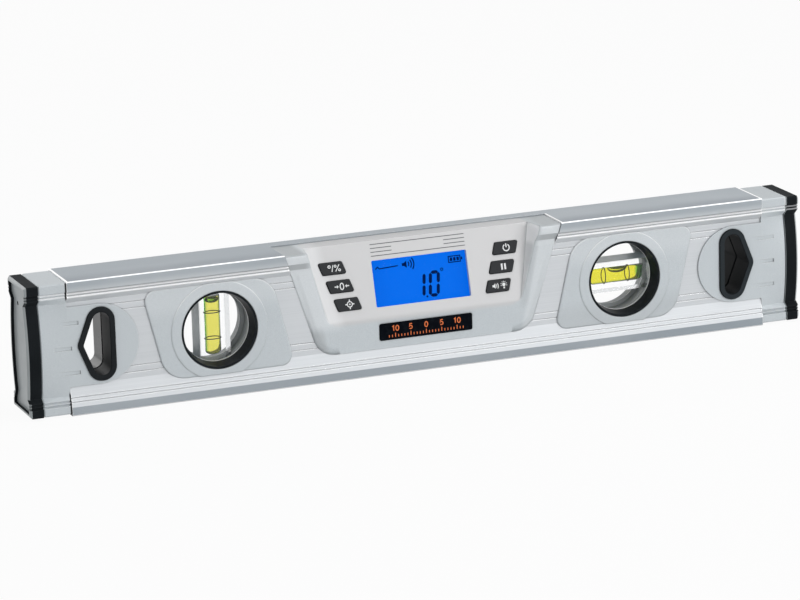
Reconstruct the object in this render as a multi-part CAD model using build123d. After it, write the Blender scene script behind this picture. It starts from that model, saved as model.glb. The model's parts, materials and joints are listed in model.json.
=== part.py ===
from build123d import *
import math
import os

os.makedirs("parts", exist_ok=True)

# Digital spirit level. X runs along the length, -Y is the front with the display, +Z is up.
# The origin is the centre of the base face. All sizes are in millimetres.

# Overall size
level_length = 400.0
level_height = 65.0
level_depth = 29.0

# Clearances
seat_gap = 0.05
fit_gap = 0.15
panel_gap = 0.4
moving_gap = 0.2
pin_gap = 0.05

# Extruded profile
edge_break = 0.5
top_flange_height = 5.0
base_flange_height = 4.2
web_inset = 2.5
web_wall = 1.8
top_wall = 3.0
base_wall = 3.0
ridge_count = 2
ridge_pitch = 1.5
ridge_depth = 1.0
ridge_inset = 0.45
ridge_fall = 0.2
ridge_floor = 0.35
ridge_land = 0.4
undercut_height = 2.6
slope_height = 10.0
groove_width = 0.6
groove_depth = 0.35
groove_pitch = 3.1
groove_margin = 3.0
groove_count = 2
slope_groove_margin = 2.4
slope_groove_pitch = 2.0

# End caps and bumpers
cap_length = 13.7
cap_inset = 0.6
cap_drop = 0.7
cap_rise = 1.0
cap_wall = 2.0
cap_plug_length = 11.0
cap_plug_height = 7.0
tongue_thickness = 0.9
pad_radius = 19.3
pad_from_end = 15.1
cap_edge = 0.7
waist_depth = 3.4
bulge_inset = 0.7
bulge_height = 28.0
foot_depth = 2.8
foot_height = 9.6
foot_flange_height = 5.0
mark_height = 1.8
mark_depth = 0.5
mark_pitch = 12.0
mark_long = 12.5
mark_short = 8.8
mark_inset = 6.6
bumper_length = 6.7
bumper_inset = 0.3
bumper_drop = 0.8
bumper_rise = 0.9
bumper_round = 1.0
bumper_rim = 1.9
bumper_panel_depth = 1.5
panel_hole_radius = 1.0
panel_hole_depth = 2.0
panel_hole_below_top = 11.8
panel_hole_from_front = 17.5
bumper_spigot_length = 6.0
bumper_spigot_height = 40.0
bumper_spigot_depth = 12.0

# Grip holes, one near each end
grip_from_end = 16.0
grip_corner_radius = 7.0
grip_corner_spread = 21.9
grip_nose_radius = 5.0
grip_nose_reach = 6.4
grip_rise = 0.6
grip_rim = 2.7
grip_rim_height = 1.0
grip_rim_round = 0.45
grip_tube_wall = 1.5
seam_break = 0.7

# Vial windows
window_offset = 2.05
window_radius = 19.1
bezel_proud = 1.0
bezel_margin = 5.95
bezel_lean = 0.24
bezel_small_corner = 5.5
bezel_large_corner = 13.0
bezel_base_lap = 3.5
bezel_top_lap = 1.2
bezel_edge = 0.4
bezel_ring_radius = 24.1
bezel_ring_height = 0.4
bezel_ring_edge = 0.3
collar_wall = 1.8
ring_lip = 1.0
ring_taper = 1.3
ring_recess = 0.2

# Vials
vial_block_height = 15.2
vial_block_depth = 12.0
vial_bore_radius = 4.0
fluid_length = 29.2
mark_spacing = 12.8
mark_width = 0.45
mark_thickness = 0.2
plug_recess = 1.5
level_bubble_length = 11.0
level_bubble_radius = 3.6
level_bubble_depth = 3.2
level_bubble_offset = 1.0
plumb_bubble_gap = 0.3
plumb_bubble_height = 3.8

# Control housing
housing_half_width = 68.9
housing_lean = 0.317
housing_corner = 12.0
housing_base_lap = 1.6
housing_proud = 0.6
housing_drop = 0.6
housing_setback = 0.5
housing_back = 6.8
housing_edge = 0.4
housing_wall = 1.8
opening_inset = 2.2
tub_wall = 1.6
tub_back = 2.0

# Tilted control face
face_tilt = 15.0
face_below_top = 20.0
face_depth = 6.4
recess_half_width = 53.9
recess_lean = 0.22
recess_corner = 7.0
recess_foot = 19.5
recess_draft = 12.0

# Display stack behind the face
display_width = 49.2
display_height = 22.6
display_offset = -0.9
display_corner = 0.6
window_sink = 0.6
window_flange = 1.4
window_flange_thickness = 0.8
lcd_thickness = 1.8
lcd_margin = 1.0
lcd_ledge = 3.4
backlight_thickness = 2.0
strip_width = 2.0

# Buttons, three in each of two leaning columns
button_column = 41.95
button_lean = 0.32
button_pitch = 9.0
button_width = 12.2
button_height = 5.9
button_corner = 0.8
button_proud = 0.7
button_edge = 0.3
button_flange = 0.8
button_flange_thickness = 0.8
button_stem_radius = 1.5
button_travel = 0.8

# Circuit board
board_half_width = 51.0
board_top = 14.5
board_foot = 18.0
board_thickness = 1.6
switch_size = 6.0
switch_height = 1.5
switch_plunger_radius = 1.6
switch_plunger_height = 0.4
post_radius = 1.8
post_gap = 2.6
post_top = 11.0
post_foot = -15.5
board_screw_radius = 0.8
board_screw_length = 4.0
board_screw_head_radius = 1.7
board_screw_head_height = 1.2
sensor_size = 5.0
sensor_height = 1.5
chip_size = 9.0
chip_height = 1.4
chip_pitch = 15.0
chip_row = 8.0
buzzer_radius = 5.5
buzzer_height = 4.5
buzzer_from_centre = 34.0
sound_hole_radius = 1.2
sound_hole_depth = 0.7

# Badge plate below the display
badge_width = 48.0
badge_height = 8.2
badge_thickness = 1.0
badge_proud = 0.4
badge_corner = 0.8
badge_above_base = 8.4

# Battery box, cells and door at the rear
cell_radius = 5.2
cell_length = 44.5
cell_nub_radius = 1.9
cell_nub_length = 1.0
cell_gap = 0.2
cell_above_base = 10.0
contact_space = 2.5
contact_thickness = 0.4
contact_half_width = 3.4
contact_depth = 5.0
contact_tail_width = 2.0
box_wall = 1.0
box_floor = 0.8
rear_proud = 1.0
rear_plate = 2.4
door_lap = 0.6
door_side_lap = 2.2
door_thickness = 2.2
door_pin_radius = 0.7
door_pin_length = 1.6
door_notch_radius = 6.0
door_notch_depth = 0.9
door_ledge = 1.0
door_ledge_depth = 1.2

# Housing screws
tower_radius = 3.0
tower_low_x = 47.0
tower_low_above_base = 9.4
tower_high_x = 56.0
tower_high_below_top = 19.0
tower_split = 1.0
screw_radius = 1.2
screw_length = 10.0
screw_head_radius = 2.3
screw_head_height = 1.8
screw_seat = 5.0
slot_width = 0.6
slot_depth = 0.7

# Places worked out from the sizes above
half_depth = level_depth / 2
web_y = half_depth - web_inset
mid_z = level_height / 2
flange_low = level_height - top_flange_height
ridges_low = flange_low - ridge_count * ridge_pitch
web_top = ridges_low - undercut_height
web_base = base_flange_height + slope_height
cap_end = level_length / 2 - bumper_length
profile_end = cap_end - cap_length
pad_x = profile_end - pad_from_end
pad_edge = pad_x - pad_radius
window_from_centre = (housing_half_width + pad_edge) / 2 - window_offset
bezel_half_width = (pad_edge - housing_half_width) / 2 - bezel_margin
far = level_length


def corner_circles(corners, radii):
    """Circles (x, z, radius) that round the corners of a polygon given anticlockwise."""
    circles = []
    for index, radius in enumerate(radii):
        here = Vector(corners[index])
        to_last = (Vector(corners[index - 1]) - here).normalized()
        to_next = (Vector(corners[(index + 1) % len(corners)]) - here).normalized()
        half_angle = math.radians(to_last.get_angle(to_next)) / 2
        centre = here + (to_last + to_next).normalized() * (radius / math.sin(half_angle))
        circles.append((centre.X, centre.Y, radius))
    return circles


def belt(circles, grow=0.0):
    """A face bounded by a belt stretched round circles, listed anticlockwise, grown by a margin."""
    rounds = [(Vector(x, z), radius + grow) for x, z, radius in circles]
    normals = []
    for index, (centre, radius) in enumerate(rounds):
        next_centre, next_radius = rounds[(index + 1) % len(rounds)]
        span = next_centre - centre
        along = span.normalized()
        lean = (radius - next_radius) / span.length
        normals.append(along * lean + Vector(along.Y, -along.X) * math.sqrt(1 - lean * lean))
    edges = []
    for index, (centre, radius) in enumerate(rounds):
        arrive = normals[index - 1]
        leave = normals[index]
        middle = (arrive + leave).normalized()
        start = centre + arrive * radius
        end = centre + leave * radius
        edges.append(ThreePointArc(start, centre + middle * radius, end))
        next_centre, next_radius = rounds[(index + 1) % len(rounds)]
        edges.append(Line(end, next_centre + leave * next_radius))
    return make_face(edges)


def rectangle_circles(width, height, radius, z=0.0):
    """Corner circles of an upright rectangle centred at (0, z)."""
    x = width / 2
    h = height / 2
    corners = [(-x, z - h), (x, z - h), (x, z + h), (-x, z + h)]
    return corner_circles(corners, [radius] * len(corners))


def slab(outline, y_front, y_rear):
    """An outline in X and Z, given depth from y_front to y_rear."""
    return extrude(Plane.XZ.offset(-y_rear) * outline, y_rear - y_front)


def along_x(outline, x_start, x_end):
    """An outline in Y and Z, run along X."""
    return extrude(Plane.YZ.offset(x_start) * outline, x_end - x_start)


def polygon(points):
    return make_face(Polyline(*points, close=True))


def block(x0, x1, y0, y1, z0, z1):
    return Pos((x0 + x1) / 2, (y0 + y1) / 2, (z0 + z1) / 2) * Box(x1 - x0, y1 - y0, z1 - z0)


def rod_x(x0, x1, y, z, radius):
    return Pos((x0 + x1) / 2, y, z) * Rot(0, 90, 0) * Cylinder(radius, x1 - x0)


def rod_y(x, z, y0, y1, radius):
    return Pos(x, (y0 + y1) / 2, z) * Rot(90, 0, 0) * Cylinder(radius, y1 - y0)


def to_left(shape):
    return mirror(shape, about=Plane.YZ)


def to_rear(shape):
    return mirror(shape, about=Plane.XZ)


nodes = {}


def keep_four(name_left, name_right, shape):
    """Keep a piece made for the right front in its four places."""
    nodes[name_right + "_front"] = shape
    nodes[name_right + "_rear"] = to_rear(shape)
    nodes[name_left + "_front"] = to_left(shape)
    nodes[name_left + "_rear"] = to_left(to_rear(shape))


# Cross-section of the profile


def slope_y(z):
    """Half depth of the slope that runs from the web out to the base flange."""
    return web_y + (web_base - z) / slope_height * web_inset


def ridge_points(half):
    """The ridges beside a flange on one side, as (half depth, distance from the flange)."""
    points = []
    for ridge in range(ridge_count):
        start = ridge * ridge_pitch
        points.append((half - ridge_depth, start + ridge_fall))
        points.append((half - ridge_depth, start + ridge_fall + ridge_floor))
        points.append((half - ridge_inset, start + ridge_pitch - ridge_land))
        points.append((half - ridge_inset, start + ridge_pitch))
    return points


def flange_points(half, top):
    """The top flange and its ridges on one side, from the top down, as (half depth, height)."""
    points = [(half - edge_break, top), (half, top - edge_break), (half, flange_low)]
    return points + [(y, flange_low - step) for y, step in ridge_points(half)]


def foot_points(half, base):
    """The lower corner of one side, as (half depth, height)."""
    return [(half, base + edge_break), (half - edge_break, base)]


def across(points):
    """The same points on the other side, in reverse order."""
    return [(-y, z) for y, z in reversed(points)]


side = flange_points(half_depth, level_height) + [(web_y, web_top)]
high_grooves = [web_top - groove_margin - step * groove_pitch for step in range(groove_count)]
low_grooves = [web_base + groove_margin + step * groove_pitch for step in range(groove_count)]
for z in high_grooves + sorted(low_grooves, reverse=True):
    side.append((web_y, z + groove_width / 2))
    side.append((web_y - groove_depth, z))
    side.append((web_y, z - groove_width / 2))
side.append((web_y, web_base))
for step in reversed(range(groove_count)):
    z = base_flange_height + slope_groove_margin + step * slope_groove_pitch
    side.append((slope_y(z + groove_width / 2), z + groove_width / 2))
    side.append((slope_y(z) - groove_depth, z))
    side.append((slope_y(z - groove_width / 2), z - groove_width / 2))
side += [(half_depth, base_flange_height)] + foot_points(half_depth, 0.0)
envelope = along_x(polygon(side + across(side)), -profile_end, profile_end)

# Outlines that several pieces share

grip_x = level_length / 2 - bumper_length - cap_length - grip_from_end
grip_z = mid_z + grip_rise
grip_circles = [
    (grip_x, grip_z - grip_corner_spread / 2, grip_corner_radius),
    (grip_x + grip_nose_reach, grip_z, grip_nose_radius),
    (grip_x, grip_z + grip_corner_spread / 2, grip_corner_radius),
]
grip_tube_grow = grip_tube_wall - grip_rim


def housing_half(z):
    """Half width of the control housing at a height."""
    return housing_half_width + housing_lean * (z - ridges_low)


housing_base = web_base - housing_base_lap
housing_top = level_height - housing_drop


def housing_outline(grow, top):
    """The leaning outline of the control housing, from its base up to a height."""
    low = housing_half(housing_base)
    high = housing_half(top)
    corners = [(-low, housing_base), (low, housing_base), (high, top), (-high, top)]
    return belt(corner_circles(corners, [housing_corner] * len(corners)), grow)


above_all = 2 * level_height
notch_low = web_top
rear_plate_top = web_top - fit_gap
notch_back = housing_back + moving_gap

# Profile with its windows, grip holes and the cut-outs for the control unit

cavity = polygon(
    [
        (web_wall - web_y, base_wall),
        (web_y - web_wall, base_wall),
        (web_y - web_wall, level_height - top_wall),
        (web_wall - web_y, level_height - top_wall),
    ]
)
profile = envelope - along_x(cavity, -profile_end, profile_end)
collar_radius = window_radius + collar_wall
window_hole = rod_y(window_from_centre, mid_z, -half_depth, half_depth, collar_radius + fit_gap)
grip_hole = slab(belt(grip_circles, grip_tube_grow + fit_gap), -half_depth, half_depth)
for cut in (window_hole, grip_hole):
    profile -= cut
    profile -= to_left(cut)
flange_notch = slab(housing_outline(fit_gap, above_all), -half_depth, notch_back)
flange_notch &= block(-far, far, -half_depth, half_depth, notch_low, above_all)
profile -= flange_notch
web_opening = housing_outline(-opening_inset, above_all)
profile -= slab(web_opening, -half_depth, web_wall - web_y)
rear_opening = housing_outline(-opening_inset, rear_plate_top)
profile -= slab(rear_opening, web_y - web_wall, half_depth)
nodes["profile"] = profile

# End caps: a bulging collar at each end, a tongue over each web and plugs inside the profile


def waisted(upper, lower, bulge=None):
    """An outline with two flanges; its sides bulge through a point or run straight between them."""
    edges = [Polyline(*upper), Polyline(*lower, *across(lower)), Polyline(*across(upper), upper[0])]
    for side_sign in (1, -1):
        top_end = (side_sign * upper[-1][0], upper[-1][1])
        low_end = (side_sign * lower[0][0], lower[0][1])
        if bulge is None:
            edges.append(Line(top_end, low_end))
        else:
            edges.append(ThreePointArc(top_end, (side_sign * bulge[0], bulge[1]), low_end))
    return make_face(edges)


def ridged_foot(half, base):
    """The ridges and the foot of one side, from the top down, as (half depth, height)."""
    ridges = [(y, foot_flange_height + step) for y, step in reversed(ridge_points(half))]
    return ridges + [(half, foot_flange_height)] + foot_points(half, base)


def end_outline(half, top, base):
    """The bulging outline that the bumper and the outer end of the cap share."""
    upper = flange_points(half, top) + [(half - waist_depth, web_top)]
    lower = [(half - foot_depth, foot_height)] + ridged_foot(half, base)
    return waisted(upper, lower, (half - bulge_inset, bulge_height))


cap_half = half_depth - cap_inset
cap_web = web_y + tongue_thickness
cap_top = level_height - cap_drop
cap_start = profile_end + seat_gap
cap_upper = flange_points(cap_half, cap_top) + [(cap_web, web_top)]
cap_lower = [(cap_web, foot_height)] + ridged_foot(cap_half, cap_rise)
flat_end = Plane.YZ.offset(cap_start) * waisted(cap_upper, cap_lower)
full_end = Plane.YZ.offset(cap_end - cap_edge) * end_outline(cap_half, cap_top, cap_rise)
small_end = end_outline(cap_half - cap_edge, cap_top - cap_edge, cap_rise + cap_edge)
cap_body = loft([flat_end, full_end], ruled=True)
cap_body += loft([full_end, Plane.YZ.offset(cap_end) * small_end], ruled=True)
cap_hollow_y = cap_half - waist_depth - cap_wall
cap_body -= block(
    profile_end,
    cap_end - cap_wall,
    -cap_hollow_y,
    cap_hollow_y,
    base_wall + cap_wall,
    level_height - top_wall - cap_wall,
)
tongue = Pos(pad_x, grip_z) * Circle(pad_radius)
tongue += Pos((pad_x + cap_end) / 2, grip_z) * Rectangle(cap_end - pad_x, 2 * pad_radius)
tongue_slab = slab(tongue, -cap_web, -web_y) - envelope
tongue_slab -= block(cap_start, far, -far, far, -far, far)
cap = cap_body + tongue_slab + to_rear(tongue_slab)
plug_half = web_y - web_wall - fit_gap
plug_levels = (
    (base_wall + fit_gap, base_wall + cap_plug_height),
    (level_height - top_wall - cap_plug_height, level_height - top_wall - fit_gap),
)
for low, high in plug_levels:
    cap += block(profile_end - cap_plug_length, profile_end + cap_wall, -plug_half, plug_half, low, high)
cap -= slab(belt(grip_circles, grip_tube_grow + fit_gap), -half_depth, half_depth)
spigot_y = bumper_spigot_depth / 2
spigot_z = bumper_spigot_height / 2
cap -= block(
    cap_end - cap_wall,
    cap_end,
    -spigot_y - fit_gap,
    spigot_y + fit_gap,
    mid_z - spigot_z - fit_gap,
    mid_z + spigot_z + fit_gap,
)
mark_end = cap_end - mark_inset
mark_floor = cap_web - mark_depth
for step, length in ((-1, mark_long), (0, mark_short), (1, mark_long)):
    low = mid_z + step * mark_pitch - mark_height / 2
    for shallow, deep, way in ((mark_end - length, mark_end, -1), (mark_end, mark_end - length, 1)):
        floor_line = [(shallow, way * cap_web), (deep, way * mark_floor)]
        wedge = polygon(floor_line + [(deep, way * half_depth), (shallow, way * half_depth)])
        cap -= Pos(0, 0, low) * extrude(wedge, mark_height, dir=(0, 0, 1))
nodes["right_end_cap"] = cap
nodes["left_end_cap"] = Rot(0, 0, 180) * cap

# Rubber bumpers, plugged into the end wall of each cap

bumper_half = half_depth - bumper_inset
bumper_top = level_height - bumper_drop
bumper_end = level_length / 2
bumper_full = end_outline(bumper_half, bumper_top, bumper_rise)
bumper_small = end_outline(
    bumper_half - bumper_round, bumper_top - bumper_round, bumper_rise + bumper_round
)
round_start = bumper_end - bumper_round
bumper = along_x(bumper_full, cap_end + seat_gap, round_start)
bumper += loft(
    [Plane.YZ.offset(round_start) * bumper_full, Plane.YZ.offset(bumper_end) * bumper_small], ruled=True
)
panel_y = bumper_half - bumper_rim
panel_waist = panel_y - waist_depth
panel_upper = [(panel_y, bumper_top - bumper_rim), (panel_y, ridges_low), (panel_waist, web_top)]
panel_lower = [
    (panel_y - foot_depth, foot_height),
    (panel_y, foot_flange_height),
    (panel_y, bumper_rise + bumper_rim),
]
panel = waisted(panel_upper, panel_lower, (panel_y - bulge_inset, bulge_height))
panel_floor = bumper_end - bumper_panel_depth
bumper -= along_x(panel, panel_floor, bumper_end)
hole_y = panel_hole_from_front - half_depth
hole_z = level_height - panel_hole_below_top
bumper -= rod_x(panel_floor - panel_hole_depth, panel_floor, hole_y, hole_z, panel_hole_radius)
bumper += block(
    cap_end - bumper_spigot_length,
    cap_end + bumper_length / 2,
    -spigot_y,
    spigot_y,
    mid_z - spigot_z,
    mid_z + spigot_z,
)
nodes["right_bumper"] = bumper
nodes["left_bumper"] = to_left(bumper)

# Grip hole liners: a rim on the pad and a tube that meets the other half in the middle

rim_back = -cap_web - seat_gap
rim_front = rim_back - grip_rim_height
liner_rim = slab(belt(grip_circles), rim_front, rim_back)
liner_rim = fillet(liner_rim.faces().sort_by(Axis.Y)[0].edges(), grip_rim_round)
liner = liner_rim + slab(belt(grip_circles, grip_tube_grow), rim_back, -seat_gap)
liner -= slab(belt(grip_circles, -grip_rim), -half_depth, 0.0)
liner = fillet(liner.faces().sort_by(Axis.Y)[0].inner_wires()[0].edges(), grip_rim_round)
liner = chamfer(liner.faces().sort_by(Axis.Y)[-1].inner_wires()[0].edges(), seam_break)
keep_four("left_grip_liner", "right_grip_liner", liner)

# Vial bezels: a leaning plate on the web with a raised ring and a collar through the window

bezel_y = web_y + bezel_proud
bezel_low = web_base - bezel_base_lap
bezel_high = web_top + bezel_top_lap


def bezel_side(z):
    return bezel_lean * (z - mid_z)


bezel_corners = [
    (window_from_centre - bezel_half_width + bezel_side(bezel_low), bezel_low),
    (window_from_centre + bezel_half_width + bezel_side(bezel_low), bezel_low),
    (window_from_centre + bezel_half_width + bezel_side(bezel_high), bezel_high),
    (window_from_centre - bezel_half_width + bezel_side(bezel_high), bezel_high),
]
bezel_radii = [bezel_small_corner, bezel_large_corner, bezel_small_corner, bezel_large_corner]
bezel_plate = belt(corner_circles(bezel_corners, bezel_radii))
bezel = slab(bezel_plate, -bezel_y, -web_y)
bezel = chamfer(bezel.faces().sort_by(Axis.Y)[0].edges(), bezel_edge)
bezel_ring_y = bezel_y + bezel_ring_height
raised_ring = rod_y(window_from_centre, mid_z, -bezel_ring_y, -web_y, bezel_ring_radius)
raised_ring &= slab(bezel_plate, -bezel_ring_y, -web_y)
bezel += chamfer(raised_ring.faces().sort_by(Axis.Y)[0].edges(), bezel_ring_edge)
bezel -= envelope
bezel += rod_y(window_from_centre, mid_z, -bezel_y, -seat_gap, collar_radius)
bezel -= rod_y(window_from_centre, mid_z, -half_depth, 0.0, window_radius)
keep_four("plumb_bezel", "level_bezel", bezel)

# Black window rings: funnels that clamp the vial block from front and rear


def lathe_y(points, x, z):
    """A solid turned about an axis along Y, from (radius, y) points."""
    return Pos(x, 0, z) * revolve(polygon(points), Axis.Y)


ring_outer = window_radius - fit_gap
ring_front = -bezel_ring_y + ring_recess
ring_back = -vial_block_depth / 2 - seat_gap
ring_mouth = ring_outer - ring_lip
ring = lathe_y(
    [
        (ring_mouth, ring_front),
        (ring_outer, ring_front),
        (ring_outer, ring_back),
        (ring_mouth - ring_taper, ring_back),
    ],
    window_from_centre,
    mid_z,
)
keep_four("plumb_ring", "level_ring", ring)

# Vials, drawn with the bore along X through the origin

vial_reach = window_radius - fit_gap
bore_radius = vial_bore_radius + seat_gap
fluid_half = fluid_length / 2
vial = Box(2 * vial_reach, vial_block_depth, vial_block_height)
vial &= Rot(90, 0, 0) * Cylinder(vial_reach, vial_block_depth)
vial -= rod_x(-fluid_half - seat_gap, vial_reach, 0, 0, bore_radius)
mark_outer = bore_radius + mark_thickness
marks = []
for x in (-mark_spacing / 2, mark_spacing / 2):
    start = x - mark_width / 2
    end = x + mark_width / 2
    vial -= rod_x(start - seat_gap, end + seat_gap, 0, 0, mark_outer + seat_gap)
    mark = rod_x(start, end, 0, 0, mark_outer)
    marks.append(mark - rod_x(x - mark_width, x + mark_width, 0, 0, bore_radius))
plug = rod_x(fluid_half + seat_gap, vial_reach - plug_recess, 0, 0, vial_bore_radius)
bore_fill = rod_x(-fluid_half, fluid_half, 0, 0, vial_bore_radius)


def spindle(half_length, radius):
    """An egg shape about X."""
    return scale(Sphere(radius), by=(half_length / radius, 1, 1))


level_place = Pos(window_from_centre, 0, mid_z)
plumb_place = Pos(-window_from_centre, 0, mid_z) * Rot(0, -90, 0)
bubble_bore = rod_x(-fluid_half, fluid_half, 0, 0, vial_bore_radius - seat_gap)
level_bubble_z = vial_bore_radius - level_bubble_depth + level_bubble_radius
level_rest = Pos(level_bubble_offset, 0, level_bubble_z)
level_bubble = (level_rest * spindle(level_bubble_length / 2, level_bubble_radius)) & bubble_bore
level_dent = level_rest * spindle(level_bubble_length / 2 + seat_gap, level_bubble_radius + seat_gap)
plumb_bubble_radius = vial_bore_radius - plumb_bubble_gap
plumb_rest = Pos(fluid_half - plumb_bubble_height / 2 - seat_gap, 0, 0)
plumb_bubble = plumb_rest * spindle(plumb_bubble_height / 2, plumb_bubble_radius)
plumb_dent = plumb_rest * spindle(plumb_bubble_height / 2 + seat_gap, plumb_bubble_radius + seat_gap)
for name, place, bubble, dent in (
    ("level", level_place, level_bubble, level_dent),
    ("plumb", plumb_place, plumb_bubble, plumb_dent),
):
    nodes[name + "_vial"] = place * vial
    nodes[name + "_marks"] = Compound(children=[place * mark for mark in marks])
    nodes[name + "_plug"] = place * plug
    nodes[name + "_fluid"] = place * (bore_fill - dent)
    nodes[name + "_bubble"] = place * bubble

# Control housing: a skirt on the web, a block in the flange notch and a tub through the web

face_normal = (0, -math.cos(math.radians(face_tilt)), math.sin(math.radians(face_tilt)))
face = Plane(
    origin=(0, face_depth - half_depth, level_height - face_below_top), x_dir=(1, 0, 0), z_dir=face_normal
)


def on_face(outline, low, high):
    """An outline on the tilted face, from a depth to a height above it."""
    return extrude(face.offset(low) * outline, high - low)


def face_rod(x, up, low, high, radius):
    return on_face(Pos(x, up) * Circle(radius), low, high)


def face_y(z):
    """Where the tilted face lies at a height."""
    return face.origin.Y + (z - face.origin.Z) * math.tan(math.radians(face_tilt))


panel_width = display_width + 2 * lcd_margin
lcd_front = -housing_wall - window_flange_thickness
lcd_back = lcd_front - lcd_thickness
board_front = lcd_back - backlight_thickness
board_back = board_front - board_thickness


def board_blank(grow, back):
    """The board's outline grown by a margin, from a depth up to its front."""
    width = 2 * (board_half_width + grow)
    height = board_top + board_foot + 2 * grow
    return on_face(Pos(0, (board_top - board_foot) / 2) * Rectangle(width, height), back, board_front)


wing_y = half_depth - housing_setback
skirt_y = web_y + housing_proud
block_low = notch_low + fit_gap
housing = slab(housing_outline(0.0, above_all), -skirt_y, -web_y)
housing = chamfer(housing.faces().sort_by(Axis.Y)[0].edges(), housing_edge)
housing &= block(-far, far, -far, far, 0.0, housing_top)
housing -= envelope & block(-far, far, -far, far, 0.0, block_low)
top_block = along_x(
    polygon(
        [
            (edge_break - wing_y, housing_top),
            (-wing_y, housing_top - edge_break),
            (-wing_y, flange_low),
            (-skirt_y, ridges_low),
            (-skirt_y, block_low),
            (housing_back, block_low),
            (housing_back, housing_top),
        ]
    ),
    -far,
    far,
)
housing += top_block & slab(housing_outline(0.0, above_all), -half_depth, half_depth)
tub_grow = -opening_inset - panel_gap
tub = slab(housing_outline(tub_grow, above_all), -web_y, -tub_back)
housing += tub & block(-far, far, -far, far, 0.0, housing_top)
recess_top = face_below_top + recess_corner
recess_low_half = recess_half_width - recess_lean * recess_foot
recess_high_half = recess_half_width + recess_lean * recess_top
recess_corners = [
    (-recess_low_half, -recess_foot),
    (recess_low_half, -recess_foot),
    (recess_high_half, recess_top),
    (-recess_high_half, recess_top),
]
recess = belt(corner_circles(recess_corners, [recess_corner] * len(recess_corners)))
housing -= extrude(face * recess, level_depth, taper=-recess_draft)
hollow = slab(housing_outline(tub_grow - tub_wall, above_all), housing_wall - skirt_y, far)
hollow &= block(-far, far, -far, far, 0.0, housing_top - housing_wall)
hollow &= on_face(Rectangle(far, far), -far, -housing_wall)
housing -= hollow
housing -= board_blank(panel_gap, board_back - panel_gap)

# Towers for the housing screws and posts for the board

towers = [
    (sign * x, z)
    for x, z in (
        (tower_low_x, housing_base + tower_low_above_base),
        (tower_high_x, level_height - tower_high_below_top),
    )
    for sign in (-1, 1)
]
screw_tip = screw_seat - screw_length
for x, z in towers:
    root = max(face_y(z), -skirt_y) + housing_wall / 2
    housing += rod_y(x, z, root, tower_split, tower_radius)
    housing -= rod_y(x, z, screw_tip - panel_gap, tower_split, screw_radius + pin_gap)
    nodes["profile"] -= rod_y(x, z, -half_depth, half_depth, tower_radius + panel_gap)
post_x = panel_width / 2 + post_gap + post_radius
posts = [(sign * post_x, up) for up in (post_top, post_foot) for sign in (-1, 1)]
for x, up in posts:
    housing += face_rod(x, up, board_front, -housing_wall / 2, post_radius)
    pilot_end = board_front + board_screw_length
    housing -= face_rod(x, up, board_front, pilot_end, board_screw_radius + pin_gap)

# Openings in the face for the display and the buttons, and the pocket for the badge

display_circles = rectangle_circles(display_width, display_height, display_corner, display_offset)
housing -= on_face(belt(display_circles), -housing_wall, button_proud)


def button_circles(row):
    """Corner circles of a button of the right column; rows count up from the middle one."""
    up = row * button_pitch
    x = button_column + button_lean * up
    half = button_width / 2
    rise = button_height / 2
    shift = button_lean * rise
    corners = [
        (x - half - shift, up - rise),
        (x + half - shift, up - rise),
        (x + half + shift, up + rise),
        (x - half + shift, up + rise),
    ]
    return corner_circles(corners, [button_corner] * len(corners))


flange_front = -housing_wall - fit_gap
flange_back = flange_front - button_flange_thickness
for row in (-1, 0, 1):
    circles = button_circles(row)
    hole = on_face(belt(circles, moving_gap), flange_front, button_proud)
    hole += on_face(belt(circles, button_flange + moving_gap), flange_back - button_travel, flange_front)
    housing -= hole
    housing -= to_left(hole)
badge_z = housing_base + badge_above_base
badge_circles = rectangle_circles(badge_width, badge_height, badge_corner, badge_z)
badge_back = badge_thickness - badge_proud - skirt_y
housing -= slab(belt(badge_circles, fit_gap), -half_depth, badge_back)
nodes["front_housing"] = housing
nodes["badge_plate"] = slab(belt(badge_circles), -skirt_y - badge_proud, badge_back)

# Buttons with a retaining flange and a stem

plunger_top = board_front + switch_height + switch_plunger_height
stem_end = plunger_top + button_travel + seat_gap
button_names = {
    -1: ("calibration_button", "sound_light_button"),
    0: ("reference_button", "hold_button"),
    1: ("unit_button", "power_button"),
}
switches = []
for row, (left_name, right_name) in button_names.items():
    circles = button_circles(row)
    button = on_face(belt(circles), flange_front, button_proud)
    button = chamfer(button.faces().sort_by(Axis(face.origin, face.z_dir))[-1].edges(), button_edge)
    button += on_face(belt(circles, button_flange), flange_back, flange_front)
    stem_x = button_column + button_lean * row * button_pitch
    stem_up = row * button_pitch
    button += face_rod(stem_x, stem_up, stem_end, flange_back, button_stem_radius)
    nodes[right_name] = button
    nodes[left_name] = to_left(button)
    switch_base = Pos(stem_x, stem_up) * Rectangle(switch_size, switch_size)
    switch = on_face(switch_base, board_front, board_front + switch_height)
    switch += face_rod(stem_x, stem_up, board_front, plunger_top, switch_plunger_radius)
    switches += [switch, to_left(switch)]
nodes["tact_switches"] = Compound(children=switches)

# Display window, panel, backlight and connector strip

window_pane = on_face(belt(display_circles, -fit_gap), -housing_wall, -window_sink)
window_pane += on_face(belt(display_circles, window_flange), lcd_front, -housing_wall)
nodes["display_window"] = window_pane
panel_height = display_height + 2 * lcd_margin
panel_low = display_offset - panel_height / 2 - lcd_ledge
panel_high = display_offset + panel_height / 2
panel_mid = (panel_low + panel_high) / 2
nodes["lcd_panel"] = on_face(
    Pos(0, panel_mid) * Rectangle(panel_width, panel_high - panel_low), lcd_back, lcd_front
)
nodes["backlight"] = on_face(
    Pos(0, display_offset) * Rectangle(panel_width, panel_height), board_front, lcd_back
)
strip_up = panel_low + lcd_ledge / 2
nodes["contact_strip"] = on_face(
    Pos(0, strip_up) * Rectangle(panel_width, strip_width), board_front, lcd_back
)

# Circuit board with its chips, sensor, buzzer and screws

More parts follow.
